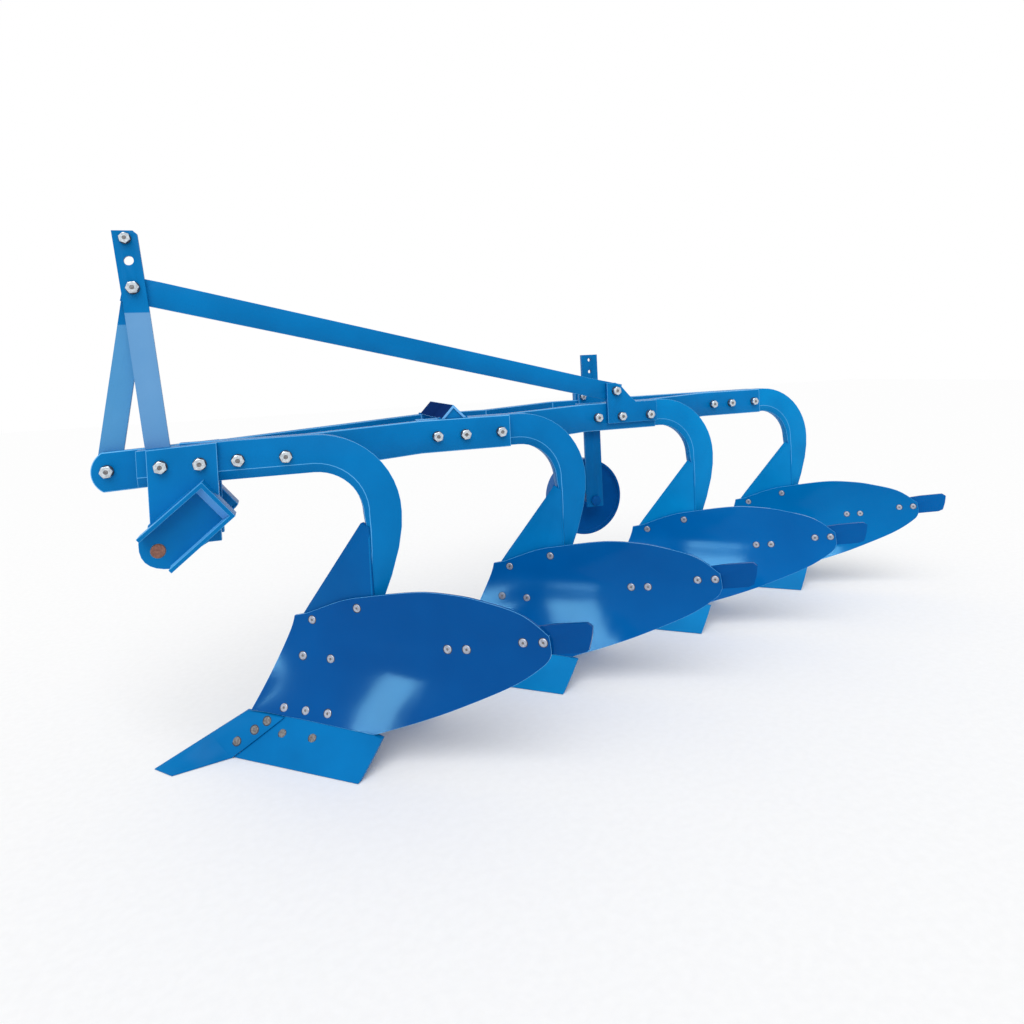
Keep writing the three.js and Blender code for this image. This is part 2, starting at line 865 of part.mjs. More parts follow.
// Hitch plate: hangs from the beam and carries the pin bracket
function makeHitchPlate(nearFace) {
  const outline = [
    [hitchFront, beamTop - beamFrontDrop(hitchFront)],
    [hitchRear, beamTop - beamFrontDrop(hitchRear)],
    [hitchRear, hitchFoot],
    [hitchRear + hitchFootLength, hitchFoot],
    ...hitchToeShares.map(([a, b]) => [pinForward + a * pinDiameter, pinHeight + b * pinDiameter]),
    [hitchFront, pinHeight + hitchEdgeRise],
  ];
  return sidePlate(outline, nearFace, hitchPlateThickness, [[pinForward, pinHeight, pinHole]]);
}

const pinHole = pinDiameter + 2 * seatGap;

// Pin bracket: a tray with two long walls and an upper wall, its round end holding the pin.
// The walls stand out from the web towards the outside.
function makePinBracket(plateFace, outward) {
  const tilt = THREE.MathUtils.degToRad(bracketTilt);
  const place = (along, across) => {
    const back = along - bracketPinAlong;
    return [
      pinForward + back * Math.cos(tilt) + across * Math.sin(tilt),
      pinHeight - back * Math.sin(tilt) + across * Math.cos(tilt),
    ];
  };
  const half = bracketWidth / 2;
  const endArc = [-1, -0.75, -0.5, -0.25, 0, 0.25, 0.5, 0.75, 1].map((share) =>
    place(bracketLength + bracketBulge * (1 - share * share), share * half),
  );
  const webOutline = [...endArc, place(0, half), place(0, -half)];
  const box = (a0, a1, c0, c1) => [place(a0, c0), place(a1, c0), place(a1, c1), place(a0, c1)];
  const near = (depth) => (outward > 0 ? plateFace + depth : plateFace);
  const web = sidePlate(webOutline, near(bracketWeb), bracketWeb, [[pinForward, pinHeight, pinHole]]);
  const walls = [
    box(0, bracketLength, half - bracketWall, half),
    box(0, bracketLength, -half, bracketWall - half),
    box(0, bracketWall, -half, half),
  ].map((outline) => sidePlate(outline, near(bracketDepth), bracketDepth));
  return joined(web, ...walls);
}

// Rectangles of the mast's flat bar, one for each place along the line of its centre
function mastBar(stations) {
  return loft(
    stations.map(([x, y, z]) => [
      new THREE.Vector3(x - mastWidth / 2, y - mastThickness / 2, z),
      new THREE.Vector3(x + mastWidth / 2, y - mastThickness / 2, z),
      new THREE.Vector3(x + mastWidth / 2, y + mastThickness / 2, z),
      new THREE.Vector3(x - mastWidth / 2, y + mastThickness / 2, z),
    ]),
  );
}

// Mast strap: its foot lies beside the leg's arm, it steps away from the arm and ends in an upright head
const mastForward = (z) => mastFootForward + mastLeanShare * (z - beamCentre);
const mastFootCentre = -legThickness - seatGap - mastThickness / 2;
const mastHeadCentre = mastFootCentre - mastStepAcross;
const mastBendLow = beamTop + mastBendRise;
const mastBendHigh = mastTop - mastStraight;
const stayFrontHeight = mastTop - stayHoleDrop;

function makeMastStrap() {
  const foot = beamTop - mastFootDrop;
  const head = sidePlate(
    [
      [mastForward(mastBendHigh) - mastWidth / 2, mastBendHigh],
      [mastForward(mastBendHigh) + mastWidth / 2, mastBendHigh],
      [mastForward(mastTop) + mastWidth / 2, mastTop],
      [mastForward(mastTop) - mastWidth / 2 + mastCorner, mastTop],
      [mastForward(mastTop - mastCorner) - mastWidth / 2, mastTop - mastCorner],
    ],
    mastHeadCentre + mastThickness / 2,
    mastThickness,
    [
      [topHoleDrop, topHoleDiameter],
      [spareHoleDrop, topHoleDiameter],
      [stayHoleDrop, boltHole],
    ].map(([drop, diameter]) => [mastForward(mastTop - drop), mastTop - drop, diameter]),
  );
  const shank = mastBar([
    [mastForward(foot), mastFootCentre, foot],
    [mastForward(mastBendLow), mastFootCentre, mastBendLow],
    [mastForward(mastBendHigh), mastHeadCentre, mastBendHigh],
  ]);
  return joined(head, shank);
}

// Mast strut: a straight bar from the rail's nose up to the bolt at the stay's front end
const stayFrontForward = mastForward(stayFrontHeight);
const stayFrontCentre = mastHeadCentre - mastThickness / 2 - seatGap - stayThickness / 2;
const strutHeadCentre = stayFrontCentre - stayThickness / 2 - seatGap - mastThickness / 2;
const strutFootCentre = railFrontCentre - railThickness / 2 - seatGap - mastThickness / 2;

function makeMastStrut() {
  const lean = (strutFootForward - stayFrontForward) / (stayFrontHeight - beamCentre);
  const strutForward = (z) => strutFootForward - lean * (z - beamCentre);
  const foot = beamTop - strutFootDrop;
  const top = stayFrontHeight + strutEndLap;
  const bar = mastBar([
    [strutForward(foot), strutFootCentre, foot],
    [strutForward(beamTop), strutFootCentre, beamTop],
    [strutForward(stayFrontHeight - strutEndLap), strutHeadCentre, stayFrontHeight - strutEndLap],
    [strutForward(top), strutHeadCentre, top],
  ]);
  return cut(bar, crossBar(stayFrontForward, stayFrontHeight, boltHole, 0, 2 * strutHeadCentre));
}

// Packing between the mast strap's foot and the far rail
function makeMastPacking() {
  const half = mastWidth / 2;
  const top = beamTop - beamFrontDrop(mastFootForward + half) - seatGap;
  const outline = [
    [mastFootForward - half, beamBottom],
    [mastFootForward + half, beamBottom],
    [mastFootForward + half, top],
    [mastFootForward - half, top],
  ];
  const near = mastFootCentre - mastThickness / 2 - seatGap;
  return sidePlate(outline, near, linkThickness - mastThickness - seatGap);
}

// Stay: a flat bar on edge from the mast down to the rear bracket, with its ends set parallel to the travel
const stayBracketNear = linkThickness + 2 * seatGap - 2 * bodyPitchAcross + bracketPlate;
const stayRearCentre = stayBracketNear - bracketPlate - seatGap - stayThickness / 2;

function makeStay() {
  const run = stayFrontForward - stayRearForward;
  const drop = stayFrontHeight - stayRearHeight;
  const slope = Math.atan2(drop, run);
  const heightAt = (x) => stayFrontHeight - stayBoltRise - ((stayFrontForward - x) * drop) / run;
  const stations = [
    [stayFrontForward + stayEndLap, stayFrontCentre],
    [stayFrontBend, stayFrontCentre],
    [stayRearBend, stayRearCentre],
    [stayRearForward - stayEndLap, stayRearCentre],
  ];
  const ring = ([x, y]) => {
    const lift = (side) => (side * stayWidth) / 2;
    const corner = (up, across) =>
      new THREE.Vector3(
        x - lift(up) * Math.sin(slope),
        y + (across * stayThickness) / 2,
        heightAt(x) + lift(up) * Math.cos(slope),
      );
    return [corner(1, 1), corner(1, -1), corner(-1, -1), corner(-1, 1)];
  };
  return cut(
    loft(stations.map(ring)),
    crossBar(stayFrontForward, stayFrontHeight, boltHole, 0, 2 * stayFrontCentre),
    crossBar(stayRearForward, stayRearHeight, boltHole, 0, 2 * stayRearCentre),
  );
}

// Rear bracket: the plate on the link that takes the stay's lower end
function makeRearBracket() {
  const outline = [
    [bracketFront, bracketPeak],
    [bracketFront, beamBottom + linkThickness],
    [bracketRear, beamBottom + linkThickness],
    [bracketRear, beamTop],
    [bracketShoulder - linkThickness, beamTop],
    [bracketShoulder, stayRearHeight - boltDiameter],
    [stayRearForward - boltDiameter, bracketPeak - boltDiameter / 2],
    [stayRearForward, bracketPeak],
  ];
  return sidePlate(outline, stayBracketNear, bracketPlate, [
    [stayRearForward, stayRearHeight, boltHole],
  ]);
}

// Wheel post: a flat bar with a row of setting holes
const postNear = railRearCentre - railThickness / 2 - slideFit;
const postFar = postNear - postThickness;

function makePost() {
  const left = postCentre - postWidth / 2;
  const right = postCentre + postWidth / 2;
  const outline = [
    [left, postBottom],
    [right, postBottom],
    [right, postTop],
    [left, postTop],
  ];
  const holes = [[postCentre, axleHeight, axleDiameter + 2 * seatGap]];
  for (let i = 0; i < postHoleCount; i++) {
    holes.push([postCentre, postHoleTop - i * postHolePitch, postHoleDiameter]);
  }
  return sidePlate(outline, postNear, postThickness, holes);
}

// Wheel clamp: a channel round the post on the far face of the rail, and a flat plate on its near face
function makeClampChannel() {
  const inner = postWidth / 2 + slideFit;
  const near = railRearCentre - railThickness / 2 - seatGap;
  const floor = postFar - slideFit;
  return planSlab(
    [
      [clampRear, near],
      [clampRear, floor - clampWall],
      [clampFront, floor - clampWall],
      [clampFront, near],
      [postCentre + inner, near],
      [postCentre + inner, floor],
      [postCentre - inner, floor],
      [postCentre - inner, near],
    ],
    clampBottom,
    clampTop - clampBottom,
  );
}

function makeClampPlate() {
  const outline = [
    [clampRear, clampBottom],
    [clampFront, clampBottom],
    [clampFront, clampTop],
    [clampRear, clampTop],
  ];
  const near = railRearCentre + railThickness / 2 + seatGap + clampWall;
  return sidePlate(outline, near, clampWall);
}

// Axle: a shouldered pin through the post, with a head on the near side and a nut beyond the wheel
const hubNear = -wheelAcross + wheelHubLength / 2;
const hubFar = -wheelAcross - wheelHubLength / 2;
const bushBore = axleDiameter + 2 * bushFit;
const hubBore = bushBore + 2 * bushWall + 2 * seatGap;

function makeAxle() {
  const corners = (hexAcrossFlats * axleDiameter) / boltDiameter / Math.cos(Math.PI / 6);
  const head = postNear + seatGap;
  const nut = hubFar - bushFit;
  return joined(
    crossBar(postCentre, axleHeight, corners, head + hexHeadHeight, head, 6),
    crossBar(postCentre, axleHeight, axleDiameter, head + hexHeadHeight / 2, nut - hexHeadHeight - boltTail),
    crossBar(postCentre, axleHeight, axleShoulder, postFar - seatGap, hubNear + bushFit),
    crossBar(postCentre, axleHeight, corners, nut, nut - hexHeadHeight, 6),
  );
}

// Wheel and bush: turned about the axle
function turned(profile, sides) {
  const geometry = new THREE.LatheGeometry(
    [...profile, profile[0]].map(([radius, side]) => new THREE.Vector2(radius, side)),
    sides,
  );
  geometry.translate(postCentre, -wheelAcross, axleHeight);
  return geometry;
}

function makeWheel() {
  const hub = wheelHubDiameter / 2;
  const rim = wheelDiameter / 2;
  const lip = rim - wheelRimWall;
  const half = wheelHubLength / 2;
  const [discFar, discNear] = [wheelDiscNear - wheelDiscWall, wheelDiscNear + wheelDiscWall];
  return turned(
    [
      [hubBore / 2, -half],
      [hub, -half],
      [hub, discFar],
      [(hub + lip) / 2, discFar - wheelDish],
      [lip, discFar],
      [lip, -wheelRimWidth / 2],
      [rim, -wheelRimWidth / 2],
      [rim, wheelRimWidth / 2],
      [lip, wheelRimWidth / 2],
      [lip, discNear],
      [(hub + lip) / 2, discNear - wheelDish],
      [hub, discNear],
      [hub, half],
      [hubBore / 2, half],
    ],
    wheelFacets,
  );
}

function makeBush() {
  const half = wheelHubLength / 2;
  const inner = bushBore / 2;
  const outer = inner + bushWall;
  return turned(
    [
      [inner, -half],
      [outer, -half],
      [outer, half],
      [inner, half],
    ],
    wheelFacets / 2,
  );
}

// Scene graph: the frame, then one group for each plough body
const model = new THREE.Group();

function addMesh(parent, name, geometry, material) {
  const mesh = new THREE.Mesh(geometry, material);
  mesh.name = name;
  parent.add(mesh);
}

const leg = makeLeg();
const mouldboard = makeMouldboard();
const wingTurn = THREE.MathUtils.degToRad(wingAngleShares[wingAngleShares.length - 1][1]);
const behindBoard = mouldboard
  .clone()
  .translate(-seatGap * Math.sin(wingTurn), -seatGap * Math.cos(wingTurn), 0);
const bodyPieces = [
  ["leg", leg, blueEnamel],
  ["frog", makeFrog(leg), blueEnamel],
  ["mouldboard", mouldboard, boardEnamel],
  ["share", makeShare(), blueEnamel],
  ["bar_point", makeBarPoint(), blueEnamel],
  ["landside", makeLandside(), blueEnamel],
  ["tail_piece", makeTailPiece([behindBoard]), blueEnamel],
  ["mouldboard_brace", makeBrace([behindBoard]), blueEnamel],
];
const link = makeLink();
for (let k = 0; k < bodyCount; k++) {
  const station = new THREE.Group();
  station.position.set(-k * bodyPitchBack, -k * bodyPitchAcross, 0);
  for (const [name, geometry, finish] of bodyPieces) {
    addMesh(station, `${name}_${k + 1}`, geometry, finish());
  }
  if (k + 1 < bodyCount) addMesh(station, `link_${k + 1}_${k + 2}`, link, blueEnamel());
  model.add(station);
}

addMesh(model, "far_rail", makeFarRail(), blueEnamel());
addMesh(model, "cross_member", makeCrossMember(), blueEnamel());

const nearPlateFace = seatGap + hitchPlateThickness;
const farPlateFace = railFrontCentre - railThickness / 2 - seatGap;
const nearBracketFace = nearPlateFace + seatGap;
const farBracketFace = farPlateFace - hitchPlateThickness - seatGap;
addMesh(model, "near_hitch_plate", makeHitchPlate(nearPlateFace), blueEnamel());
addMesh(model, "far_hitch_plate", makeHitchPlate(farPlateFace), blueEnamel());
addMesh(model, "near_pin_bracket", makePinBracket(nearBracketFace, 1), blueEnamel());
addMesh(model, "far_pin_bracket", makePinBracket(farBracketFace, -1), blueEnamel());
const pinNear = nearBracketFace + bracketWeb + pinStandOut;
const pinFar = farBracketFace - bracketWeb - pinStandOut;
addMesh(model, "lower_hitch_pin", crossBar(pinForward, pinHeight, pinDiameter, pinNear, pinFar, 2 * roundFacets), rustySteel());

addMesh(model, "mast_strap", makeMastStrap(), mastEnamel());
addMesh(model, "mast_strut", makeMastStrut(), mastEnamel());
addMesh(model, "mast_packing", makeMastPacking(), blueEnamel());
const headNear = mastHeadCentre + mastThickness / 2;
const strutFar = strutHeadCentre - mastThickness / 2;
addMesh(
  model,
  "stay_front_bolt",
  hexBolt(stayFrontForward, stayFrontHeight, boltDiameter, headNear, strutFar),
  zinc(),
);
addMesh(model, "stay", makeStay(), blueEnamel());
addMesh(model, "stay_rear_bracket", makeRearBracket(), blueEnamel());
addMesh(
  model,
  "stay_rear_bolt",
  hexBolt(stayRearForward, stayRearHeight, boltDiameter, stayBracketNear, stayRearCentre - stayThickness / 2),
  zinc(),
);

addMesh(model, "wheel_post", makePost(), blueEnamel());
addMesh(model, "wheel_clamp_channel", makeClampChannel(), blueEnamel());
addMesh(model, "wheel_clamp_plate", makeClampPlate(), blueEnamel());
addMesh(model, "wheel_axle", makeAxle(), zinc());
addMesh(model, "gauge_wheel", makeWheel(), blueEnamel());
addMesh(model, "wheel_bush", makeBush(), bronze());

// The origin is the middle of the ground under the whole plough
const bounds = new THREE.Box3().setFromObject(model);
const middle = bounds.getCenter(new THREE.Vector3());
model.position.set(-middle.x, -middle.y, -bounds.min.z);
const plough = new THREE.Group();
plough.add(model);

export default plough;
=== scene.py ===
import json
import math

import bmesh
import bpy
import numpy as np
from mathutils import Matrix, Vector
from mathutils.bvhtree import BVHTree

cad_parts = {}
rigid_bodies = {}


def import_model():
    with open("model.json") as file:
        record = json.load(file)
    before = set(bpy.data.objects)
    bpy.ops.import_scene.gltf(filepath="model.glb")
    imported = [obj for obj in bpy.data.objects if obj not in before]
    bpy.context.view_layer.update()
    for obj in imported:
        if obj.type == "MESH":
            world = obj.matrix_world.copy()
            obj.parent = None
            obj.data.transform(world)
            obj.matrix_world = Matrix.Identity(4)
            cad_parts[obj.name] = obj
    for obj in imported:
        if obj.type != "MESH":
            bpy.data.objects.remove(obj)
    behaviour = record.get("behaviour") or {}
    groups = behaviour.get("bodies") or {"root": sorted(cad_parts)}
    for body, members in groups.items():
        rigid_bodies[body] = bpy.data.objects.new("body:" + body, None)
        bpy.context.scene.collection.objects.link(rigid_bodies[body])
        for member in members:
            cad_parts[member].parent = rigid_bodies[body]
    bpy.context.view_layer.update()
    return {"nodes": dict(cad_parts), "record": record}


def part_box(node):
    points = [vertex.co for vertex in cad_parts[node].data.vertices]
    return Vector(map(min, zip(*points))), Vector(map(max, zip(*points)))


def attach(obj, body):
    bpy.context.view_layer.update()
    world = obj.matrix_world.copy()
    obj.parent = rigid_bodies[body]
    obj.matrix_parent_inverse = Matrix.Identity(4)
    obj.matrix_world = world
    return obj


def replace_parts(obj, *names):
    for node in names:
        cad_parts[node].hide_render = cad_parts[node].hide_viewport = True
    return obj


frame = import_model()
bodyOf = {node: body for body, members in frame["record"]["behaviour"]["bodies"].items() for node in members}

# Sizes below are in mm, from the near face of the first leg at its rear arm bolt. X is forward, Y is left, Z is up.
armReach = 280
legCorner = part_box("leg_1")[1]
origin = np.array([legCorner.x - armReach / 1000, legCorner.y, 0])
pitch = np.array([-525, -200, 0])
stations = range(4)
print("stage: frame read,", len(frame["nodes"]), "solids")


def metres(points):
    return np.asarray(points, float) / 1000 + origin


def linear(hexColor):
    # each sRGB channel c turns into c / 12.92 when small, and ((c + 0.055) / 1.055) to the power 2.4 otherwise
    c = np.array([int(hexColor[i : i + 2], 16) / 255 for i in (1, 3, 5)])
    return (*np.where(c <= 0.04045, c / 12.92, ((c + 0.055) / 1.055) ** 2.4), 1)


def addNode(tree, kind, settings=None, links=None):
    made = tree.nodes.new(kind)
    for key, value in (settings or {}).items():
        if key == "stops":
            for i, (place, color) in enumerate(value):
                stop = made.color_ramp.elements[i] if i < 2 else made.color_ramp.elements.new(place)
                stop.position, stop.color = place, color
        elif isinstance(key, int) or key in made.inputs:
            made.inputs[key].default_value = value
        else:
            setattr(made, key, value)
    for key, source in (links or {}).items():
        tree.links.new(source, made.inputs[key])
    return made


def newMaterial(name):
    material = bpy.data.materials.new(name)
    material.use_nodes = True
    tree = material.node_tree
    tree.nodes.clear()
    return material, tree


# Gloss enamel is sprayed on mild steel and dries to a hard even film. The eye gets a deep saturated colour,
# a clean highlight, slow drifts of tone where the film is thicker, and a faint orange peel.
def makeEnamel(name, look):
    material, tree = newMaterial(name)
    place = addNode(tree, "ShaderNodeTexCoord").outputs["Object"]
    drift = addNode(tree, "ShaderNodeTexNoise", {"Scale": 1000 / look["driftMm"], "Detail": 3.0}, {"Vector": place})
    tone = addNode(
        tree,
        "ShaderNodeValToRGB",
        {"stops": [(0.3, linear(look["deep"])), (0.7, linear(look["main"]))]},
        {"Fac": drift.outputs["Fac"]},
    )
    color = tone.outputs["Color"]
    if "paleBelowMm" in look:
        # painted reflection: below one height the colour turns pale, with a straight edge, and its tone drifts like
        # the blue's
        split = addNode(tree, "ShaderNodeSeparateXYZ", None, {"Vector": place})
        edge = addNode(
            tree,
            "ShaderNodeMapRange",
            {
                "From Min": (look["paleBelowMm"] + look["paleEdgeMm"]) / 1000,
                "From Max": (look["paleBelowMm"] - look["paleEdgeMm"]) / 1000,
            },
            {"Value": split.outputs["Z"]},
        )
        paleTone = addNode(
            tree,
            "ShaderNodeValToRGB",
            {"stops": [(0.25, linear(look["paleDeep"])), (0.75, linear(look["pale"]))]},
            {"Fac": drift.outputs["Fac"]},
        )
        paleSheen = addNode(
            tree,
            "ShaderNodeMix",
            {"data_type": "RGBA"},
            {0: edge.outputs["Result"], 6: color, 7: paleTone.outputs["Color"]},
        )
        color = paleSheen.outputs[2]
    # dust and handling marks: a fine noise lifts the tone in thin scattered spots
    speck = addNode(
        tree,
        "ShaderNodeTexNoise",
        {"Scale": 1000 / look["speckMm"], "Detail": 6.0, "Roughness": 0.7},
        {"Vector": place},
    )
    spots = addNode(
        tree,
        "ShaderNodeMapRange",
        {"From Min": look["speckFrom"], "From Max": look["speckFull"], "To Max": look["speckShare"]},
        {"Value": speck.outputs["Fac"]},
    )
    worn = addNode(
        tree,
        "ShaderNodeMix",
        {"data_type": "RGBA", 7: linear(look["speck"])},
        {0: spots.outputs["Result"], 6: color},
    )
    gloss = addNode(
        tree,
        "ShaderNodeMapRange",
        {"To Min": look["gloss"][0], "To Max": look["gloss"][1]},
        {"Value": speck.outputs["Fac"]},
    )
    # orange peel: cells of a few millimetres, over waves in the steel as wide as a hand
    peel = addNode(tree, "ShaderNodeTexNoise", {"Scale": 1000 / look["peelMm"], "Detail": 1.0}, {"Vector": place})
    wave = addNode(tree, "ShaderNodeTexNoise", {"Scale": 1000 / look["waveMm"], "Detail": 1.0}, {"Vector": place})
    low = addNode(
        tree,
        "ShaderNodeBump",
        {"Strength": look["waveStrength"], "Distance": look["waveDeepMm"] / 1000},
        {"Height": wave.outputs["Fac"]},
    )
    fine = addNode(
        tree,
        "ShaderNodeBump",
        {"Strength": look["peelStrength"], "Distance": look["peelDeepMm"] / 1000},
        {"Height": peel.outputs["Fac"], "Normal": low.outputs["Normal"]},
    )
    shader = addNode(
        tree,
        "ShaderNodeBsdfPrincipled",
        {"IOR": look["filmIor"], "Specular IOR Level": look["shine"]},
        {"Base Color": worn.outputs[2], "Roughness": gloss.outputs["Result"], "Normal": fine.outputs["Normal"]},
    )
    addNode(tree, "ShaderNodeOutputMaterial", None, {"Surface": shader.outputs[0]})
    return material


# Bare metals. One noise mottles the colour, dulls the gloss where it is low and raises bumps of half a millimetre.
def makeMetal(name, look):
    material, tree = newMaterial(name)
    place = addNode(tree, "ShaderNodeTexCoord").outputs["Object"]
    mottle = addNode(
        tree,
        "ShaderNodeTexNoise",
        {"Scale": 1000 / look["mottleMm"], "Detail": 5.0, "Roughness": 0.65},
        {"Vector": place},
    )
    tone = addNode(
        tree,
        "ShaderNodeValToRGB",
        {"stops": [(0.32, linear(look["deep"])), (0.66, linear(look["main"]))]},
        {"Fac": mottle.outputs["Fac"]},
    )
    gloss = addNode(
        tree,
        "ShaderNodeMapRange",
        {"To Min": look["gloss"][1], "To Max": look["gloss"][0]},
        {"Value": mottle.outputs["Fac"]},
    )
    bump = addNode(
        tree,
        "ShaderNodeBump",
        {"Strength": look["bump"], "Distance": 0.0005},
        {"Height": mottle.outputs["Fac"]},
    )
    shader = addNode(
        tree,
        "ShaderNodeBsdfPrincipled",
        {"Metallic": look["metallic"]},
        {"Base Color": tone.outputs["Color"], "Roughness": gloss.outputs["Result"], "Normal": bump.outputs["Normal"]},
    )
    addNode(tree, "ShaderNodeOutputMaterial", None, {"Surface": shader.outputs[0]})
    return material


enamelLook = {
    "main": "#0076BA",
    "deep": "#006AAA",
    "driftMm": 140,
    "speck": "#3C8ED0",
    "speckMm": 9,
    "speckFrom": 0.62,
    "speckFull": 0.82,
    "speckShare": 0.16,
    "gloss": (0.3, 0.44),
    "peelMm": 5,
    "peelDeepMm": 0.4,
    "peelStrength": 0.12,
    "waveMm": 90,
    "waveDeepMm": 4,
    "waveStrength": 0.05,
    "shine": 0.07,
    "filmIor": 1.5,
}
frameEnamel = makeEnamel("sprayed_blue_enamel", enamelLook)
# the pressed sheets are glossier, and each body's sheet gets its own tone, darkest in front: painted light and shade
# for how the light falls on each board
sheetLook = {"driftMm": 260, "speckShare": 0.05, "gloss": (0.08, 0.13), "shine": 0.06}
sheetLook |= {"waveMm": 120, "waveStrength": 0.07, "peelStrength": 0.06}
sheetLightTones = [("#00539A", "#00488C"), ("#005CA4", "#005298"), ("#0068B2", "#005CA4"), ("#0076BA", "#006AAE")]
sheetEnamels = [
    makeEnamel(f"gloss_blue_enamel_on_sheet_{k + 1}", enamelLook | sheetLook | {"main": main, "deep": deep})
    for k, (main, deep) in enumerate(sheetLightTones)
]
# painted light: legs and blades of the rear bodies get a lighter blue than those in front, for the light that reaches
# them
rearBodiesLit = makeEnamel("blue_enamel_with_painted_light_on_rear_bodies", enamelLook | {"main": "#0087CA", "deep": "#007ABC"})
bodyEnamels = [frameEnamel, frameEnamel, rearBodiesLit, rearBodiesLit]
# painted shade: the first frog lies in its leg's shade and gets a deeper blue than the leg above it
firstFrogShade = makeEnamel("painted_shade_on_first_frog", enamelLook | {"main": "#005CA0", "deep": "#005294"})
# painted highlight: the rounded edges get a paler, glossier blue that stands in for the light they catch as thin pale
# lines
edgeHighlightLook = {"main": "#66B6EC", "deep": "#42A0DE", "shine": 0.2}
edgeHighlightEnamel = makeEnamel("painted_highlight_on_rounded_edges", enamelLook | edgeHighlightLook)
# painted highlight: folds and sheared ends get flat pale strips, as where they catch the light
paleFoldHighlight = makeEnamel("painted_highlight_on_folds", enamelLook | {"main": "#74B4EC", "deep": "#5CA4E4"})
# painted shade: the cross member's front slope, turned away from the light, gets a navy patch with no gloss
frontSlopeShade = makeEnamel("painted_shade_on_front_slope", enamelLook | {"main": "#163672", "deep": "#0F2A60", "shine": 0.0})
# painted reflection: below a straight line the mast's flats turn pale, as where a tilted face mirrors the sky, a
# little greener on the strut
strapReflection = {"pale": "#689CCC", "paleDeep": "#5C94C6", "paleBelowMm": 965, "paleEdgeMm": 1}
strapEnamel = makeEnamel("mast_strap_enamel_with_painted_reflection", enamelLook | strapReflection)
strutReflection = {"pale": "#5699CC", "paleDeep": "#4A90C4", "paleBelowMm": 943, "paleEdgeMm": 1}
strutEnamel = makeEnamel("mast_strut_enamel_with_painted_reflection", enamelLook | strutReflection)
# painted shade: the wheel, in the plough's shade, gets a deeper blue than the frame before it
wheelShadeEnamel = makeEnamel("wheel_enamel_with_painted_shade", enamelLook | {"main": "#0062AC", "deep": "#00549A"})
# fresh zinc gives small bright hexagons with soft grey facets
zincPlate = makeMetal(
    "bright_zinc_plate",
    {"main": "#DCE4EA", "deep": "#A0A8B0", "mottleMm": 4, "gloss": (0.2, 0.36), "bump": 0.15, "metallic": 0.9},
)
# soil scours the sunk heads to a flatter and greyer shine
wornZinc = makeMetal(
    "scoured_zinc_on_bolt_heads",
    {"main": "#BCC2D0", "deep": "#9298A6", "mottleMm": 4, "gloss": (0.3, 0.5), "bump": 0.2, "metallic": 0.8},
)
# mill rust is matt and brown with paler patches, weathered steel grey and dull, spring steel near black, and
# turned bronze warm with a fine mottle
rustySteel = makeMetal(
    "brown_mill_rust",
    {"main": "#A0705F", "deep": "#6E4A40", "mottleMm": 5, "gloss": (0.55, 0.8), "bump": 0.6, "metallic": 0.35},
)
# it also gives painted shade in the hex bolts' dished heads
darkSteelAndDishShade = makeMetal(
    "weathered_steel_and_painted_dish_shade",
    {"main": "#8C8C8E", "deep": "#5A5452", "mottleMm": 4, "gloss": (0.4, 0.6), "bump": 0.4, "metallic": 0.6},
)
# it also gives the dark rings of painted shade round sunk plough bolt heads
blackSteelAndSeatShade = makeMetal(
    "black_spring_steel_and_painted_seat_shade",
    {"main": "#3C4450", "deep": "#222A36", "mottleMm": 3, "gloss": (0.4, 0.6), "bump": 0.2, "metallic": 0.5},
)
bearingBronze = makeMetal(
    "turned_bearing_bronze",
    {"main": "#B08A4C", "deep": "#8E6C38", "mottleMm": 2, "gloss": (0.3, 0.45), "bump": 0.15, "metallic": 1.0},
)
print("stage: finishes made")


# Points closer than a merge distance, in metres, become one, and so do faces that meet flatter than flatDegrees.
# A face looks the same way as a direction when the cosine between them is over sameWay.
meshShape = {"gridMerge": 0.00001, "solidMerge": 0.00002, "flatDegrees": 0.4, "roundingSteps": 2, "sameWay": 0.97}


# Puts a mesh into the scene as a finished piece that rides on a body. Its rounded edges may get a painted highlight.
def addPiece(name, mesh, material, body, bevelMm=0, sharpDegrees=32, edgeHighlightPaint=None):
    piece = bpy.data.objects.new(name, mesh)
    bpy.context.scene.collection.objects.link(piece)
    mesh.materials.clear()
    mesh.materials.append(material)
    mesh.polygons.foreach_set("material_index", np.zeros(len(mesh.polygons), int))
    mesh.shade_smooth()
    if bevelMm:
        rounding = piece.modifiers.new("edge_rounding", "BEVEL")
        rounding.width = bevelMm / 1000
        rounding.segments = meshShape["roundingSteps"]
        rounding.limit_method = "ANGLE"
        rounding.angle_limit = math.radians(sharpDegrees)
        rounding.harden_normals = True
        if edgeHighlightPaint:
            mesh.materials.append(edgeHighlightPaint)
            rounding.material = 1
    else:
        mesh.set_sharp_from_angle(angle=math.radians(sharpDegrees))
    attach(piece, body)
    return piece


# Grids of points, rows by columns. Neighbours in a grid share a quad, and the columns close round where wrap is set.
def gridMesh(name, grids):
    points, faces, start = [], [], 0
    for grid, wrap in grids:
        rows, columns = grid.shape[:2]
        index = np.arange(rows * columns).reshape(rows, columns) + start
        if wrap:
            index = np.concatenate([index, index[:, :1]], axis=1)
        quads = np.stack([index[:-1, :-1], index[:-1, 1:], index[1:, 1:], index[1:, :-1]], axis=-1)
        points.append(grid.reshape(-1, 3))
        faces.append(quads.reshape(-1, 4))
        start += rows * columns
    mesh = bpy.data.meshes.new(name)
    mesh.from_pydata(metres(np.concatenate(points)), [], np.concatenate(faces).tolist())
    shape = bmesh.new()
    shape.from_mesh(mesh)
    bmesh.ops.remove_doubles(shape, verts=shape.verts, dist=meshShape["gridMerge"])
    bmesh.ops.recalc_face_normals(shape, faces=shape.faces)
    shape.to_mesh(mesh)
    shape.free()
    return mesh


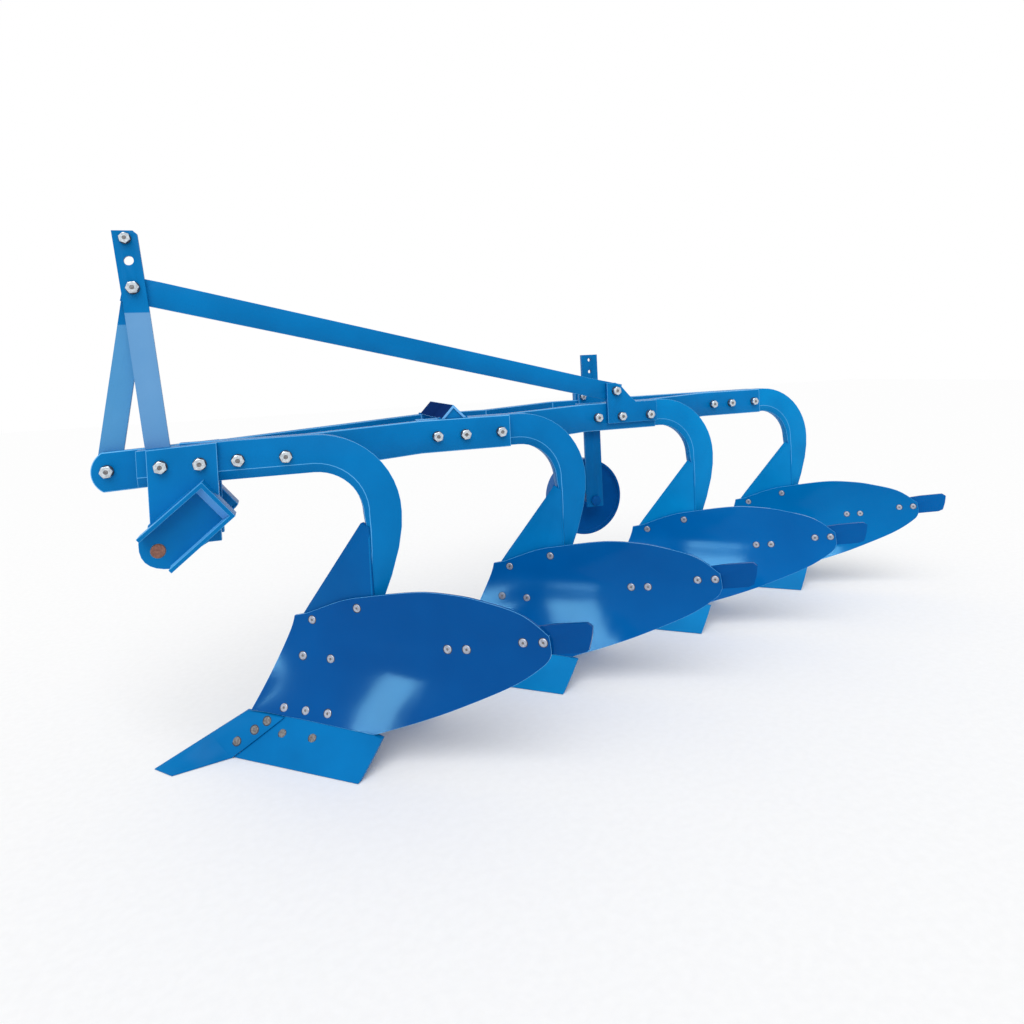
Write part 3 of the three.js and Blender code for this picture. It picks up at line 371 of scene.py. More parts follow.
# A copy of a solid with its loose triangles merged and its flat faces cleared of inner edges
def softened(node, material, bevelMm, sharpDegrees=32, edgeHighlightPaint=None):
    mesh = frame["nodes"][node].data.copy()
    shape = bmesh.new()
    shape.from_mesh(mesh)
    bmesh.ops.remove_doubles(shape, verts=shape.verts, dist=meshShape["solidMerge"])
    flat = math.radians(meshShape["flatDegrees"])
    bmesh.ops.dissolve_limit(shape, angle_limit=flat, verts=shape.verts, edges=shape.edges)
    shape.to_mesh(mesh)
    shape.free()
    piece = addPiece(node + "_finished", mesh, material, bodyOf[node], bevelMm, sharpDegrees, edgeHighlightPaint)
    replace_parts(piece, node)
    return piece


# Gives another paint, painted shade or a painted highlight, to the faces of a piece that face one way
def repainted(piece, paint, facing):
    piece.data.materials.append(paint)
    facing = Vector(facing).normalized()
    for face in piece.data.polygons:
        if face.normal.dot(facing) > meshShape["sameWay"]:
            face.material_index = len(piece.data.materials) - 1


# Legs, frogs, bars and brackets: cut plate and forged bar, with sheared edges rounded by the thick paint. Each
# row: the rounding in mm and the least angle in degrees of an edge that gets it.
plateEdges = {
    "leg": (2.4, 15),
    "frog": (1.2, 32),
    "landside": (1.5, 32),
    "tail_piece": (1.0, 32),
    "mouldboard_brace": (1.2, 32),
    "bar_point": (1.2, 15),
}
for k in stations:
    # the first body's frog gets painted shade, and each tail piece the sheet tone, painted light included, of the
    # body before it
    ownPaint = {"tail_piece": sheetEnamels[max(k - 1, 0)], "frog": bodyEnamels[k] if k else firstFrogShade}
    for kind, (edge, sharp) in plateEdges.items():
        # legs get a painted highlight on their rounded edges
        edgeHighlightPaint = edgeHighlightEnamel if kind == "leg" else None
        softened(f"{kind}_{k + 1}", ownPaint.get(kind, bodyEnamels[k]), edge, sharp, edgeHighlightPaint)
frameEdges = {
    "link_1_2": 2.0,
    "link_2_3": 2.0,
    "link_3_4": 2.0,
    "far_rail": 2.0,
    "cross_member": 1.2,
    "near_hitch_plate": 1.5,
    "far_hitch_plate": 1.5,
    "near_pin_bracket": 1.5,
    "far_pin_bracket": 1.5,
    "mast_packing": 1.0,
    "stay": 1.8,
    "stay_rear_bracket": 1.5,
    "wheel_post": 1.5,
    "wheel_clamp_channel": 1.5,
    "wheel_clamp_plate": 1.5,
}
# faces given painted shade or highlight: the cross member's front slope and near end, and the pin brackets' flanges
bracketTilt = math.radians(39)
frontSlope, nearEnd, flangeFacing = (1, 0, 1), (0, 1, 0), (math.sin(bracketTilt), 0, math.cos(bracketTilt))
for node, edge in frameEdges.items():
    # every frame bar and plate gets a painted highlight on its rounded edges
    piece = softened(node, frameEnamel, edge, 32, edgeHighlightEnamel)
    if node == "cross_member":
        # painted shade on the front slope
        repainted(piece, frontSlopeShade, frontSlope)
        # painted highlight on the near end
        repainted(piece, paleFoldHighlight, nearEnd)
    # the pin brackets' flanges get a painted highlight
    if node.endswith("pin_bracket"):
        repainted(piece, edgeHighlightEnamel, flangeFacing)
softened("mast_strap", strapEnamel, 1.2)
softened("mast_strut", strutEnamel, 1.2)
softened("lower_hitch_pin", rustySteel, 1.5)
softened("wheel_bush", bearingBronze, 0.4)
print("stage: plates and bars finished")


# Smooth curve through a table of places and values: cubic pieces whose slopes are weighted means of their neighbours
def smoothTable(table, place):
    x, y = np.array(table, float).T
    rise = np.diff(y) / np.diff(x)
    width = np.diff(x)
    inner = (width[:-1] * rise[1:] + width[1:] * rise[:-1]) / (width[:-1] + width[1:])
    slope = np.concatenate([rise[:1], inner, rise[-1:]])
    at = np.clip(place, x[0], x[-1])
    i = np.clip(np.searchsorted(x, at, side="left") - 1, 0, len(x) - 2)
    t = (at - x[i]) / width[i]
    start = y[i] * (1 + 2 * t) * (1 - t) ** 2 + width[i] * slope[i] * t * (1 - t) ** 2
    return start + y[i + 1] * t * t * (3 - 2 * t) + width[i] * slope[i + 1] * t * t * (t - 1)


# The working surface of a plough body, shared by board and share
surfaceShape = {
    "boardLength": 606,
    "boardHeight": 360,
    "shinTop": 290,
    "shinEase": 35,
    "twistLength": 150,
    "turnSteps": 24,
    "shinAhead": (170, 220, 45),
    "shinLean": (23, 132),
    "shinAngles": [(0, 41), (0.08, 34), (0.17, 27), (0.29, 23), (0.47, 24), (0.67, 31), (0.83, 37), (1, 38)],
    "wingAngles": [(0, 41), (0.08, 40), (0.17, 38.5), (0.29, 38), (1, 38)],
}


# Point at a distance along from the shin, a height, and a depth behind the face. With r the eased height over
# the shin's top, the shin is (170 - 220 r + 45 r r, 23 r - 132, height). From it the surface runs back and out
# at an angle that turns from the shin's to the wing's over the twist length, summed in small steps.
def workingPoints(along, height, behind=0):
    s = surfaceShape
    below = s["shinTop"] + s["shinEase"] - height
    eased = s["shinTop"] - below**2 / (4 * s["shinEase"])
    eased = np.where(below <= 0, s["shinTop"], np.where(below >= 2 * s["shinEase"], height, eased))
    r = eased / s["shinTop"]
    shin = np.radians(smoothTable(s["shinAngles"], height / s["boardHeight"]))
    wing = np.radians(smoothTable(s["wingAngles"], height / s["boardHeight"]))
    step = ((np.arange(s["turnSteps"]) + 0.5) / s["turnSteps"])[:, None, None]
    turn = shin + (wing - shin) * np.clip(step * along / s["twistLength"], 0, 1)
    end = shin + (wing - shin) * np.clip(along / s["twistLength"], 0, 1)
    foot, fall, bend = s["shinAhead"]
    lean, across = s["shinLean"]
    x = foot - fall * r + bend * r * r - along * np.cos(turn).mean(0) - np.sin(end) * behind
    y = lean * r - across + along * np.sin(turn).mean(0) - np.cos(end) * behind
    return np.stack([x, y, height + 0 * x], axis=-1)


def shares(table):
    return np.array(table, float) * [surfaceShape["boardLength"], surfaceShape["boardHeight"]]


def straightRun(a, b, steps):
    return a + (np.array(b) - a) * np.linspace(0, 1, steps + 1)[:, None]


# Curve through points, each span a cubic whose end slopes are half the step between its neighbours
def curvedRun(points, steps):
    points = np.array(points, float)
    t = np.linspace(0, len(points) - 1, steps + 1)
    i = np.minimum(t.astype(int), len(points) - 2)
    w = (t - i)[:, None]
    p = [points[np.clip(i + n, 0, len(points) - 1)] for n in (-1, 0, 1, 2)]
    v0, v1 = (p[2] - p[0]) / 2, (p[3] - p[1]) / 2
    return (2 * p[1] - 2 * p[2] + v0 + v1) * w**3 + (3 * p[2] - 3 * p[1] - 2 * v0 - v1) * w**2 + v0 * w + p[1]


# A sheet of the working surface between a lower and an upper edge, with a face and a back this far behind it
def sheetGrids(lower, upper, rows, face, back):
    mix = np.linspace(0, 1, rows + 1)[:, None, None]
    spot = lower + (upper - lower) * mix
    front, rear = (workingPoints(spot[..., 0], spot[..., 1], depth) for depth in (face, back))
    around = np.concatenate([front, rear[:, ::-1]], axis=1)
    return [(around, True), (np.stack([front[0], rear[0]]), False), (np.stack([front[-1], rear[-1]]), False)]


def moved(grids, shift):
    return [(grid + shift, wrap) for grid, wrap in grids]


# Mouldboard: pressed sheet, its outline traced through the same corners as the solid's but far finer
boardShape = {
    "thickness": 6,
    "low": [(0.008, 0.25), (0.155, 0.2235), (0.533, 0.195), (0.665, 0.283), (0.779, 0.375), (0.921, 0.52)]
    + [(0.992, 0.645), (1, 0.708)],
    "high": [(0, 0.806), (0.051, 0.825), (0.191, 0.914), (0.304, 0.953), (0.503, 1), (0.644, 0.997)]
    + [(0.749, 0.972), (0.875, 0.917), (0.975, 0.808)],
    "lowSteps": (15, 25, 55),
    "highSteps": (5, 90),
    "rows": 30,
}
low, high = shares(boardShape["low"]), shares(boardShape["high"])
shinSteps, jointSteps, wingSteps = boardShape["lowSteps"]
boardLower = np.concatenate(
    [
        straightRun(low[0], low[1], shinSteps)[:-1],
        straightRun(low[1], low[2], jointSteps)[:-1],
        curvedRun(low[2:], wingSteps),
    ]
)
shinSteps, crestSteps = boardShape["highSteps"]
boardUpper = np.concatenate([straightRun(high[0], high[1], shinSteps)[:-1], curvedRun(high[1:], crestSteps)])
boardGrids = sheetGrids(boardLower, boardUpper, boardShape["rows"], 0, boardShape["thickness"])

# Share: the blade below the board, from the joint down to the cutting edge
shareShape = {"thickness": 12, "frontLow": 36, "wingLow": 360, "wingTop": (345, 66), "gap": 0.6, "rows": 14}
jointSteps, wingSteps = 35, 5
shareLower = straightRun([shareShape["frontLow"], 0], [shareShape["wingLow"], 0], jointSteps + wingSteps)
drop = np.array([0, shareShape["gap"]])
shareUpper = np.concatenate(
    [
        straightRun(low[1] - drop, low[2] - drop, jointSteps)[:-1],
        straightRun(low[2] - drop, shareShape["wingTop"], wingSteps),
    ]
)
shareGrids = sheetGrids(shareLower, shareUpper, shareShape["rows"], 0, shareShape["thickness"])
for k in stations:
    board = gridMesh(f"board_sheet_{k + 1}", moved(boardGrids, k * pitch))
    # each board sheet gets a painted highlight on its rounded edges
    sheet = addPiece(f"board_sheet_{k + 1}", board, sheetEnamels[k], "frame", 0.9, 32, edgeHighlightEnamel)
    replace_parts(sheet, f"mouldboard_{k + 1}")
    blade = gridMesh(f"share_blade_{k + 1}", moved(shareGrids, k * pitch))
    # the rear bodies' shares get the painted light too
    shareEnamel = frameEnamel if k == 0 else rearBodiesLit
    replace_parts(addPiece(f"share_blade_{k + 1}", blade, shareEnamel, "frame", 1.0), f"share_{k + 1}")
print("stage: boards and shares made")


# Turned shape: a profile of (radius, place on the axis) pairs carried once round the axis
def turnedGrid(profile, sides=32):
    radius, place = np.array(profile, float).T[:, :, None]
    angle = np.linspace(0, 2 * np.pi, sides, endpoint=False)
    return np.stack([radius * np.cos(angle), radius * np.sin(angle), place + 0 * angle], axis=-1)


# Hexagon with one chamfered end. At angle a the flat lies at f / cos(a - nearest flat's middle), and the chamfer
# is a cone of 30 degrees from a circle of radius 0.95 f, so each corner is cut by an arc.
def hexGrid(acrossFlats, thickness, dish=0, sides=48):
    angle = np.linspace(0, 2 * np.pi, sides, endpoint=False)
    flat, zero = acrossFlats / 2, 0 * angle
    rim = flat / np.cos((angle + np.pi / 6) % (np.pi / 3) - np.pi / 6)
    inner = flat * 0.95 + zero
    shoulder = thickness - (rim - inner) * math.tan(math.radians(30))
    radii = np.array([zero, rim, rim, inner, dish + zero])
    heights = np.array([zero, zero, shoulder, thickness + zero, thickness + zero])
    return np.stack([radii * np.cos(angle), radii * np.sin(angle), heights], axis=-1)


# Threaded end: ridges of a triangle wave along the axis, 0.4 pitches deep, closed by a chamfered tip
def threadProfile(diameter, length, pitchMm):
    ridges = int(length / pitchMm)
    place = np.arange(2 * ridges) * pitchMm / 2
    radius = diameter / 2 - (np.arange(2 * ridges) % 2) * pitchMm * 0.4
    tip = [(diameter / 2 - pitchMm, place[-1] + pitchMm / 2), (0, place[-1] + pitchMm / 2)]
    return [(0, 0), *zip(radius, place), *tip]


# Places grids along an axis: their Z turns to the axis, and their origin goes to a point
def placed(grids, point, axis):
    turn = np.array(Vector(axis).to_track_quat("Z", "X").to_matrix())
    return [(grid @ turn.T + point, wrap) for grid, wrap in grids]


# Hexagon bolt through a stack: washer and head on the near face, washer, nut and threaded end on the far one.
# The head is dished, and its dish is dark steel, painted shade in the recess. The sizes are
# those of a 16 mm bolt, and other bolts scale them, apart from thread, lip and gap.
boltShape = {"size": 16, "flats": 22, "head": 9.5, "washer": 26, "washerThick": 3.2, "nut": 13, "tail": 6}
boltShape |= {"dish": 4.6, "dishDeep": 0.5, "thread": 2, "lip": 0.6, "gap": 0.3}
boltSharp = 25


def washerGrid(radius, thick):
    lip = boltShape["lip"]
    return turnedGrid([(0, 0), (radius, 0), (radius, thick - lip), (radius - lip, thick), (0, thick)])


def boltGrids(x, z, near, far, diameter=boltShape["size"]):
    b = boltShape
    scale = diameter / b["size"]
    thick, top, dish = b["washerThick"] * scale, b["head"] * scale, b["dish"] * scale
    lift = np.array([0, 0, thick])
    turn = 0.35 * math.sin(x * 0.7 + z)  # spanners leave each head at its own angle
    spin = np.array([[math.cos(turn), math.sin(turn), 0], [-math.sin(turn), math.cos(turn), 0], [0, 0, 1]])
    ring = washerGrid(b["washer"] / 2 * scale, thick)
    head = hexGrid(b["flats"] * scale, top, dish) @ spin + lift
    bottom = top - b["dishDeep"] * scale
    floor = turnedGrid([(dish, top), (dish - b["lip"], bottom), (0, bottom)]) + lift
    nut = hexGrid(b["flats"] * scale, b["nut"] * scale) @ spin + lift
    end = turnedGrid(threadProfile(diameter, b["tail"] * scale, b["thread"]), 24) + lift
    end = end + [0, 0, b["nut"] * scale]
    nearSide = (x, near + b["gap"], z), (0, 1, 0)
    farSide = (x, far - b["gap"], z), (0, -1, 0)
    bright = placed([(head, True)], *nearSide) + placed([(nut, True), (end, True)], *farSide)
    dark = placed([(ring, True)], *nearSide) + placed([(ring, True)], *farSide)
    return bright, dark, placed([(floor, True)], *nearSide)


def addBolts(name, places):
    made = [boltGrids(*place) for place in places]
    bright, dark, dishShade = (sum((grids[i] for grids in made), []) for i in range(3))
    addPiece(name + "_washers", gridMesh(name + "_washers", dark), blackSteelAndSeatShade, "frame", 0, boltSharp)
    # painted shade in the dished heads
    addPiece(name + "_dish_shade", gridMesh(name + "_dish_shade", dishShade), darkSteelAndDishShade, "frame", 0, boltSharp)
    return addPiece(name, gridMesh(name, bright), zincPlate, "frame", 0, boltSharp)


# Frame bolts. Each row: place ahead, level, near and far face of the stack, and the size where it isn't 16 mm. The
# last two sit in the far rail's nose and in the top hole of the mast.
barLevel = 657
hitchNear, hitchFar, legNear, railFar, linkNear, bracketNear = 12.3, -82.9, 0, -50.3, 20.3, 32.6
frameBolts = [(x, barLevel, hitchNear, hitchFar) for x in (235, 164)]
frameBolts += [(x, barLevel, legNear, railFar) for x in (93, 0)]
frameBolts += [(341, 650, -50.6, -80.9), (282.9, 1114, -50.3, -60.3, 14)]
for k in (1, 2, 3):
    x, y = k * pitch[0], k * pitch[1]
    outer = bracketNear if k == 2 else linkNear
    for ahead, near in ((0, outer), (93, outer), (164, linkNear)):
        frameBolts.append((x + ahead, barLevel, y + near, y + railFar))
addBolts("frame_bolts", frameBolts)
print("stage: frame bolts made")

# The stay's two pivot bolts stand for solids of their own: their shanks pass through the stack
stayBolts = {"stay_front_bolt": (273.8, 1015, -50.3, -82.9), "stay_rear_bolt": (-942, 733, -367.4, -391.7)}
for node, place in stayBolts.items():
    piece = addBolts(node + "_chamfered", [place])
    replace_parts(piece, node)
    x, z, near, far = place
    radius = boltShape["size"] / 2
    shank = turnedGrid([(0, 0), (radius, 0), (radius, near - far), (0, near - far)])
    shankMesh = gridMesh(node + "_shank", placed([(shank, True)], (x, far, z), (0, 1, 0)))
    addPiece(node + "_shank", shankMesh, zincPlate, "frame")
clampNear, clampFar, clampSize = -620.0, -673.3, 12
addBolts("clamp_bolts", [(x, z, clampNear, clampFar, clampSize) for x in (-946, -1029) for z in (707.5, 607.5)])

# Plough bolts: flat round heads let into the face, with a nut behind the frog, brace or tail piece
ploughBolt = {"radius": 8.6, "sunk": -1.5, "edge": 0.2, "proud": 0.9, "crown": 1.0, "seat": 10.2, "dimple": 2.8}
ploughBolt |= {"flats": 18, "nut": 9, "thread": (12, 5, 1.75)}
headRadius, seatRadius, dimpleRadius = (ploughBolt[part] for part in ("radius", "seat", "dimple"))
headProfile = [(0, ploughBolt["sunk"]), (headRadius, ploughBolt["sunk"]), (headRadius, ploughBolt["edge"])]
headProfile += [(headRadius - 1, ploughBolt["proud"]), (dimpleRadius, ploughBolt["crown"])]
# the dark ring round a head is painted shade where it is sunk into the sheet; the dull dimple sits in its middle
seatShadeProfile = [(headRadius, 0.1), (seatRadius, 0.1), (seatRadius + 0.3, -0.4)]
dimpleProfile = [(dimpleRadius, ploughBolt["crown"]), (dimpleRadius - 0.5, 0.5), (0, 0.4)]
# how far behind the face the nuts of a group sit, and its places as (along, height) on the working surface
boltGroups = {
    "board": (20.2, [(47, 283), (157, 316), (58, 205), (128, 202), (78, 97), (133, 95), (189, 95)]),
    "brace": (14.8, [(387, 246), (428, 249)]),
    "tail": (14.8, [(541, 273), (582, 277)]),
    "share": (26, [(112, 51), (189, 51)]),
}
pointBolts = [(69, -101, 69), (96, -109, 51), (135, -123, 27)]
landsideBolts = {"ahead": (-25, -115), "side": -137, "level": 42, "through": 23}
# the camera's place, from which the bar point's bolts are aimed
eye = (18.25, 1576.951, 825.374)


# Where a bolt sits on the working surface, and the outward normal: the cross product of the surface's two slopes
def boltSeat(along, height):
    s = np.array([[along, along + 1.0, along]])
    z = np.array([[height, height, height + 1.0]])
    here, further, higher = workingPoints(s, z)[0]
    normal = np.cross(higher - here, further - here)
    normal /= np.linalg.norm(normal)
    return here, normal * np.sign(normal[1])


# Head, seat and dimple of a plough bolt on a face
def boltFace(here, normal):
    profiles = (headProfile, seatShadeProfile, dimpleProfile)
    return [placed([(turnedGrid(profile, 28), True)], here, normal) for profile in profiles]


brightHeads, backNuts, rustyHeads, seatShades, dimples = [], [], [], [], []
nut = hexGrid(ploughBolt["flats"], ploughBolt["nut"])
end = turnedGrid(threadProfile(*ploughBolt["thread"]), 20) + [0, 0, ploughBolt["nut"]]
for kind, (behind, places) in boltGroups.items():
    for along, height in places:
        here, normal = boltSeat(along, height)
        head, seat, dimple = boltFace(here, normal)
        (rustyHeads if kind == "share" else brightHeads).extend(head)
        seatShades += seat
        dimples += dimple
        backNuts += placed([(nut, True), (end, True)], here - normal * behind, -normal)
pointMesh = frame["nodes"]["bar_point_1"].data
pointFace = BVHTree.FromPolygons([v.co for v in pointMesh.vertices], [p.vertices for p in pointMesh.polygons])
for place in pointBolts:
    lineOfSight = (Vector(metres(place)) - Vector(metres(eye))).normalized()
    spot, normal, _, _ = pointFace.ray_cast(Vector(metres(eye)), lineOfSight)
    head, seat, dimple = boltFace((np.array(spot) - origin) * 1000, tuple(normal))
    rustyHeads += head
    seatShades += seat
    dimples += dimple
side, level = landsideBolts["side"], landsideBolts["level"]
for x in landsideBolts["ahead"]:
    brightHeads += placed([(turnedGrid(headProfile, 28), True)], (x, side, level), (0, -1, 0))
    backNuts += placed([(nut, True)], (x, side + landsideBolts["through"], level), (0, 1, 0))
for k in stations:
    for label, grids, material in (
        ("plough_bolt_heads", brightHeads, wornZinc),
        ("plough_bolt_nuts", backNuts, zincPlate),
        ("share_bolt_heads", rustyHeads, darkSteelAndDishShade),
        # dark rings of painted shade round the sunk heads
        ("bolt_seat_shades", seatShades, blackSteelAndSeatShade),
        ("bolt_dimples", dimples, darkSteelAndDishShade),
    ):
        name = f"{label}_{k + 1}"
        addPiece(name, gridMesh(name, moved(grids, k * pitch)), material, "frame", 0, boltSharp)
print("stage: plough bolts made")


# Weld bead: a round section carried along a path. Its radius is 0.88 plus 0.12 times a rectified sine, times the
# root of 1 - |u| to the power 16, where u runs from -1 to 1 along the path and so draws in both ends.
beadShape = {"stepMm": 1.1, "rippleMm": 4.5, "sides": 10}


def beadGrid(path, radius):
    path = np.array(path, float)
    along = np.concatenate([[0], np.cumsum(np.linalg.norm(np.diff(path, axis=0), axis=1))])
    steps = max(int(along[-1] / beadShape["stepMm"]), 8)
    at = np.linspace(0, along[-1], steps)
    centre = np.stack([np.interp(at, along, path[:, i]) for i in range(3)], axis=-1)
    ahead = np.gradient(centre, axis=0)
    ahead /= np.linalg.norm(ahead, axis=1)[:, None]
    side = np.cross(ahead, [0.31, 0.52, 0.79])
    side /= np.linalg.norm(side, axis=1)[:, None]
    up = np.cross(side, ahead)
    ripple = 0.88 + 0.12 * np.abs(np.sin(np.pi * at / beadShape["rippleMm"]))
    ends = np.sqrt(np.clip(1 - np.abs(2 * at / along[-1] - 1) ** 16, 0, 1))
    ring = np.linspace(0, 2 * np.pi, beadShape["sides"], endpoint=False)
    r = (radius * ripple * ends)[:, None, None]
    return centre[:, None] + r * (side[:, None] * np.cos(ring)[:, None] + up[:, None] * np.sin(ring)[:, None])


# Frog to leg: where the frog's plate, at its depth behind the face, meets the leg's front face
frogWeldShape = {"levels": (292, 478), "reach": (60, 260), "behind": 8.5, "across": (-28, 1), "radius": 2.6}
toeWeldShape = {"ahead": (-164, -187), "across": (-6.5, -23.5), "level": 274.5, "radius": 3.4}
legFront = -161.5
heights = np.linspace(*frogWeldShape["levels"], 24)
reach = np.linspace(*frogWeldShape["reach"], 80)
sheet = workingPoints(reach[:, None], heights[None, :], frogWeldShape["behind"])
meetY = np.array([np.interp(-legFront, -sheet[:, i, 0], sheet[:, i, 1]) for i in range(len(heights))])
frogWeld = np.stack([legFront + 0 * heights, np.clip(meetY, *frogWeldShape["across"]), heights], axis=-1)
toeWelds = [[(x, y, toeWeldShape["level"]) for x in toeWeldShape["ahead"]] for y in toeWeldShape["across"]]
bodyWelds = [(beadGrid(frogWeld, frogWeldShape["radius"]), True)]
bodyWelds += [(beadGrid(path, toeWeldShape["radius"]), True) for path in toeWelds]
for k in stations:
    name = f"body_welds_{k + 1}"
    addPiece(name, gridMesh(name, moved(bodyWelds, k * pitch)), frameEnamel, "frame")

# Places on the tilted pin brackets: along them from their folded end, which the pin lies pinAlong away from, and
# across them from the pin's line. Each row of faces: its side, and which way is out.
bracketShape = {"pin": (247, 495), "pinAlong": 151, "faces": ((13.2, 1), (-83.8, -1))}


def bracketPlace(along, across, y):
    back = along - bracketShape["pinAlong"]
    x = bracketShape["pin"][0] + back * math.cos(bracketTilt) + across * math.sin(bracketTilt)
    z = bracketShape["pin"][1] - back * math.sin(bracketTilt) + across * math.cos(bracketTilt)
    return (x, y, z)


# The bracket's end is folded: a sloped strip runs from its web out to the end wall, on the near and far bracket
cornerShape = {"foot": 26, "top": 8.2, "half": 37.6, "web": 7.6, "lip": 0.6, "rise": 34}
cornerGrids = []
for face, outward in bracketShape["faces"]:
    section = [
        (cornerShape["foot"], cornerShape["web"]),
        (cornerShape["foot"], cornerShape["web"] + cornerShape["lip"]),
        (cornerShape["top"], cornerShape["rise"]),
        (cornerShape["top"], cornerShape["web"]),
    ]
    across = (-cornerShape["half"], cornerShape["half"])
    rows = [[bracketPlace(a, side, face + outward * out) for a, out in section] for side in across]
    rows = np.array(rows, float)
    caps = [np.array([row[:2], row[[3, 2]]]) for row in rows]
    cornerGrids += [(rows, True)] + [(cap, False) for cap in caps]
# the folds carry a painted highlight
addPiece("bracket_folds", gridMesh("bracket_folds", cornerGrids), paleFoldHighlight, "frame")

# A web closes the cross member a little inside its near end: a triangle carried along the member's own axis
webShape = {"middle": -406, "half": 23.4, "low": 698.5, "top": 723.1, "near": -189, "thick": 3}
corners = [(webShape["middle"] + side * webShape["half"], webShape["low"]) for side in (-1, 1)]
corners += [(webShape["middle"], webShape["top"])]
webRows = [[(x, y, z) for x, z in corners] for y in (webShape["near"], webShape["near"] - webShape["thick"])]
webRows = np.array(webRows, float)
webGrids = [(webRows, True)] + [(np.array([row[:2], row[[2, 2]]]), False) for row in webRows]
addPiece("cross_member_web", gridMesh("cross_member_web", webGrids), frameEnamel, "frame")

# Welds from bracket to hitch plate, then from the cross member to the bars beneath it
plateWelds = [((30, 47), (118, 47)), ((2, -44), (60, -47))]
memberWelds = {"ahead": (-440, -372), "across": (-199.7, -450), "half": 9, "level": 699.5}
weldRadius = 3
runs = [[bracketPlace(*spot, y) for spot in ends] for y, _ in bracketShape["faces"] for ends in plateWelds]
for y in memberWelds["across"]:
    ends = (y - memberWelds["half"], y + memberWelds["half"])
    runs += [[(x, end, memberWelds["level"]) for end in ends] for x in memberWelds["ahead"]]
frameWelds = [(beadGrid(run, weldRadius), True) for run in runs]
addPiece("frame_welds", gridMesh("frame_welds", frameWelds), frameEnamel, "frame")
print("stage: welds made")

# Gauge wheel: pressed disc and rolled rim about a hub, turned on the axle's line
wheelShape = {
    "x": -989.5,
    "y": -752,
    "z": 358,
    "profile": [(13.9, -36), (25, -36), (25, 4), (31, 4), (76, -3), (116, 3), (120, 0), (123, -6), (123, -25)]
    + [(130, -25), (130, 25), (123, 25), (123, 18), (119, 13), (76, 5), (31, 14), (25, 15), (25, 36), (13.9, 36)],
}
rim = turnedGrid(wheelShape["profile"] + wheelShape["profile"][:1], 96)
wheelCentre = (wheelShape["x"], wheelShape["y"], wheelShape["z"])
wheelMesh = gridMesh("wheel_disc_and_rim", placed([(rim, True)], wheelCentre, (0, 1, 0)))
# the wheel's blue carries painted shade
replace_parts(addPiece("wheel_disc_and_rim", wheelMesh, wheelShadeEnamel, "wheel", 1.0), "gauge_wheel")

# Axle: a shouldered shaft as (radius, side), its nut and threaded end on the far side and its head on the near one
axleShape = {
    "profile": [(0, -785), (10, -785), (10, -715.5), (16, -715.5), (16, -663.4), (10, -663.4), (10, -655), (0, -655)],
    "nutSide": -788.4,
    "threadSide": -798.4,
    "headSide": -650.4,
    "thread": (20, 5.5, 2.5),
}


def axlePlace(side):
    return (wheelShape["x"], side, wheelShape["z"])


axleHexagon = hexGrid(30, 10)
axleThread = turnedGrid(threadProfile(*axleShape["thread"]), 28)
axleGrids = placed([(turnedGrid(axleShape["profile"], 40), True)], axlePlace(0), (0, 1, 0))
axleGrids += placed([(axleHexagon, True)], axlePlace(axleShape["nutSide"]), (0, -1, 0))
axleGrids += placed([(axleThread, True)], axlePlace(axleShape["threadSide"]), (0, -1, 0))
axlePiece = addPiece("axle_turned", gridMesh("axle_turned", axleGrids), zincPlate, "wheel_slide")
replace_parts(axlePiece, "wheel_axle")
axleHead = placed([(axleHexagon, True)], axlePlace(axleShape["headSide"]), (0, 1, 0))
# the axle's near head takes the wheel's painted shade too
addPiece("axle_head_painted", gridMesh("axle_head_painted", axleHead), wheelShadeEnamel, "wheel_slide", 0.6)
print("stage: wheel made")

# Floor and backdrop: matt pale board that keeps the plough's soft shadow
floorMaterial, tree = newMaterial("matt_pale_floor")
floorShape = {"half": 14.0, "level": -0.001, "grain": 60.0, "tones": ("#FCFCFC", "#FFFFFF")}
place = addNode(tree, "ShaderNodeTexCoord").outputs["Object"]
grain = addNode(tree, "ShaderNodeTexNoise", {"Scale": floorShape["grain"], "Detail": 4.0}, {"Vector": place})
stops = [(0.3, linear(floorShape["tones"][0])), (0.7, linear(floorShape["tones"][1]))]
floorTone = addNode(tree, "ShaderNodeValToRGB", {"stops": stops}, {"Fac": grain.outputs["Fac"]})
matt = addNode(tree, "ShaderNodeBsdfDiffuse", None, {"Color": floorTone.outputs["Color"]})
addNode(tree, "ShaderNodeOutputMaterial", None, {"Surface": matt.outputs[0]})
floorMesh = bpy.data.meshes.new("floor")
around = [(-1, -1), (1, -1), (1, 1), (-1, 1)]
corners = [(x * floorShape["half"], y * floorShape["half"], floorShape["level"]) for x, y in around]
floorMesh.from_pydata(corners, [], [(0, 1, 2, 3)])
floorMesh.materials.append(floorMaterial)
floorPiece = bpy.data.objects.new("floor", floorMesh)
bpy.context.scene.collection.objects.link(floorPiece)

# World: white where the camera, gloss or glass sees it, and an even soft light on everything else
lightShape = {"world": 0.6, "sunWatts": 1.65, "sunSpread": 50, "sunFrom": (0.45, 1.3, 1.6)}
world = bpy.data.worlds.new("studio")
world.use_nodes = True
tree = world.node_tree
tree.nodes.clear()
rays = addNode(tree, "ShaderNodeLightPath")
seen = rays.outputs["Is Camera Ray"]
for kind in ("Is Glossy Ray", "Is Transmission Ray"):
    seen = addNode(tree, "ShaderNodeMath", {"operation": "MAXIMUM"}, {0: seen, 1: rays.outputs[kind]}).outputs[0]
level = addNode(tree, "ShaderNodeMapRange", {"To Min": lightShape["world"], "To Max": 1.0}, {"Value": seen})
backdrop = addNode(tree, "ShaderNodeBackground", {"Color": (1, 1, 1, 1)}, {"Strength": level.outputs["Result"]})
addNode(tree, "ShaderNodeOutputWorld", None, {"Surface": backdrop.outputs[0]})
bpy.context.scene.world = world


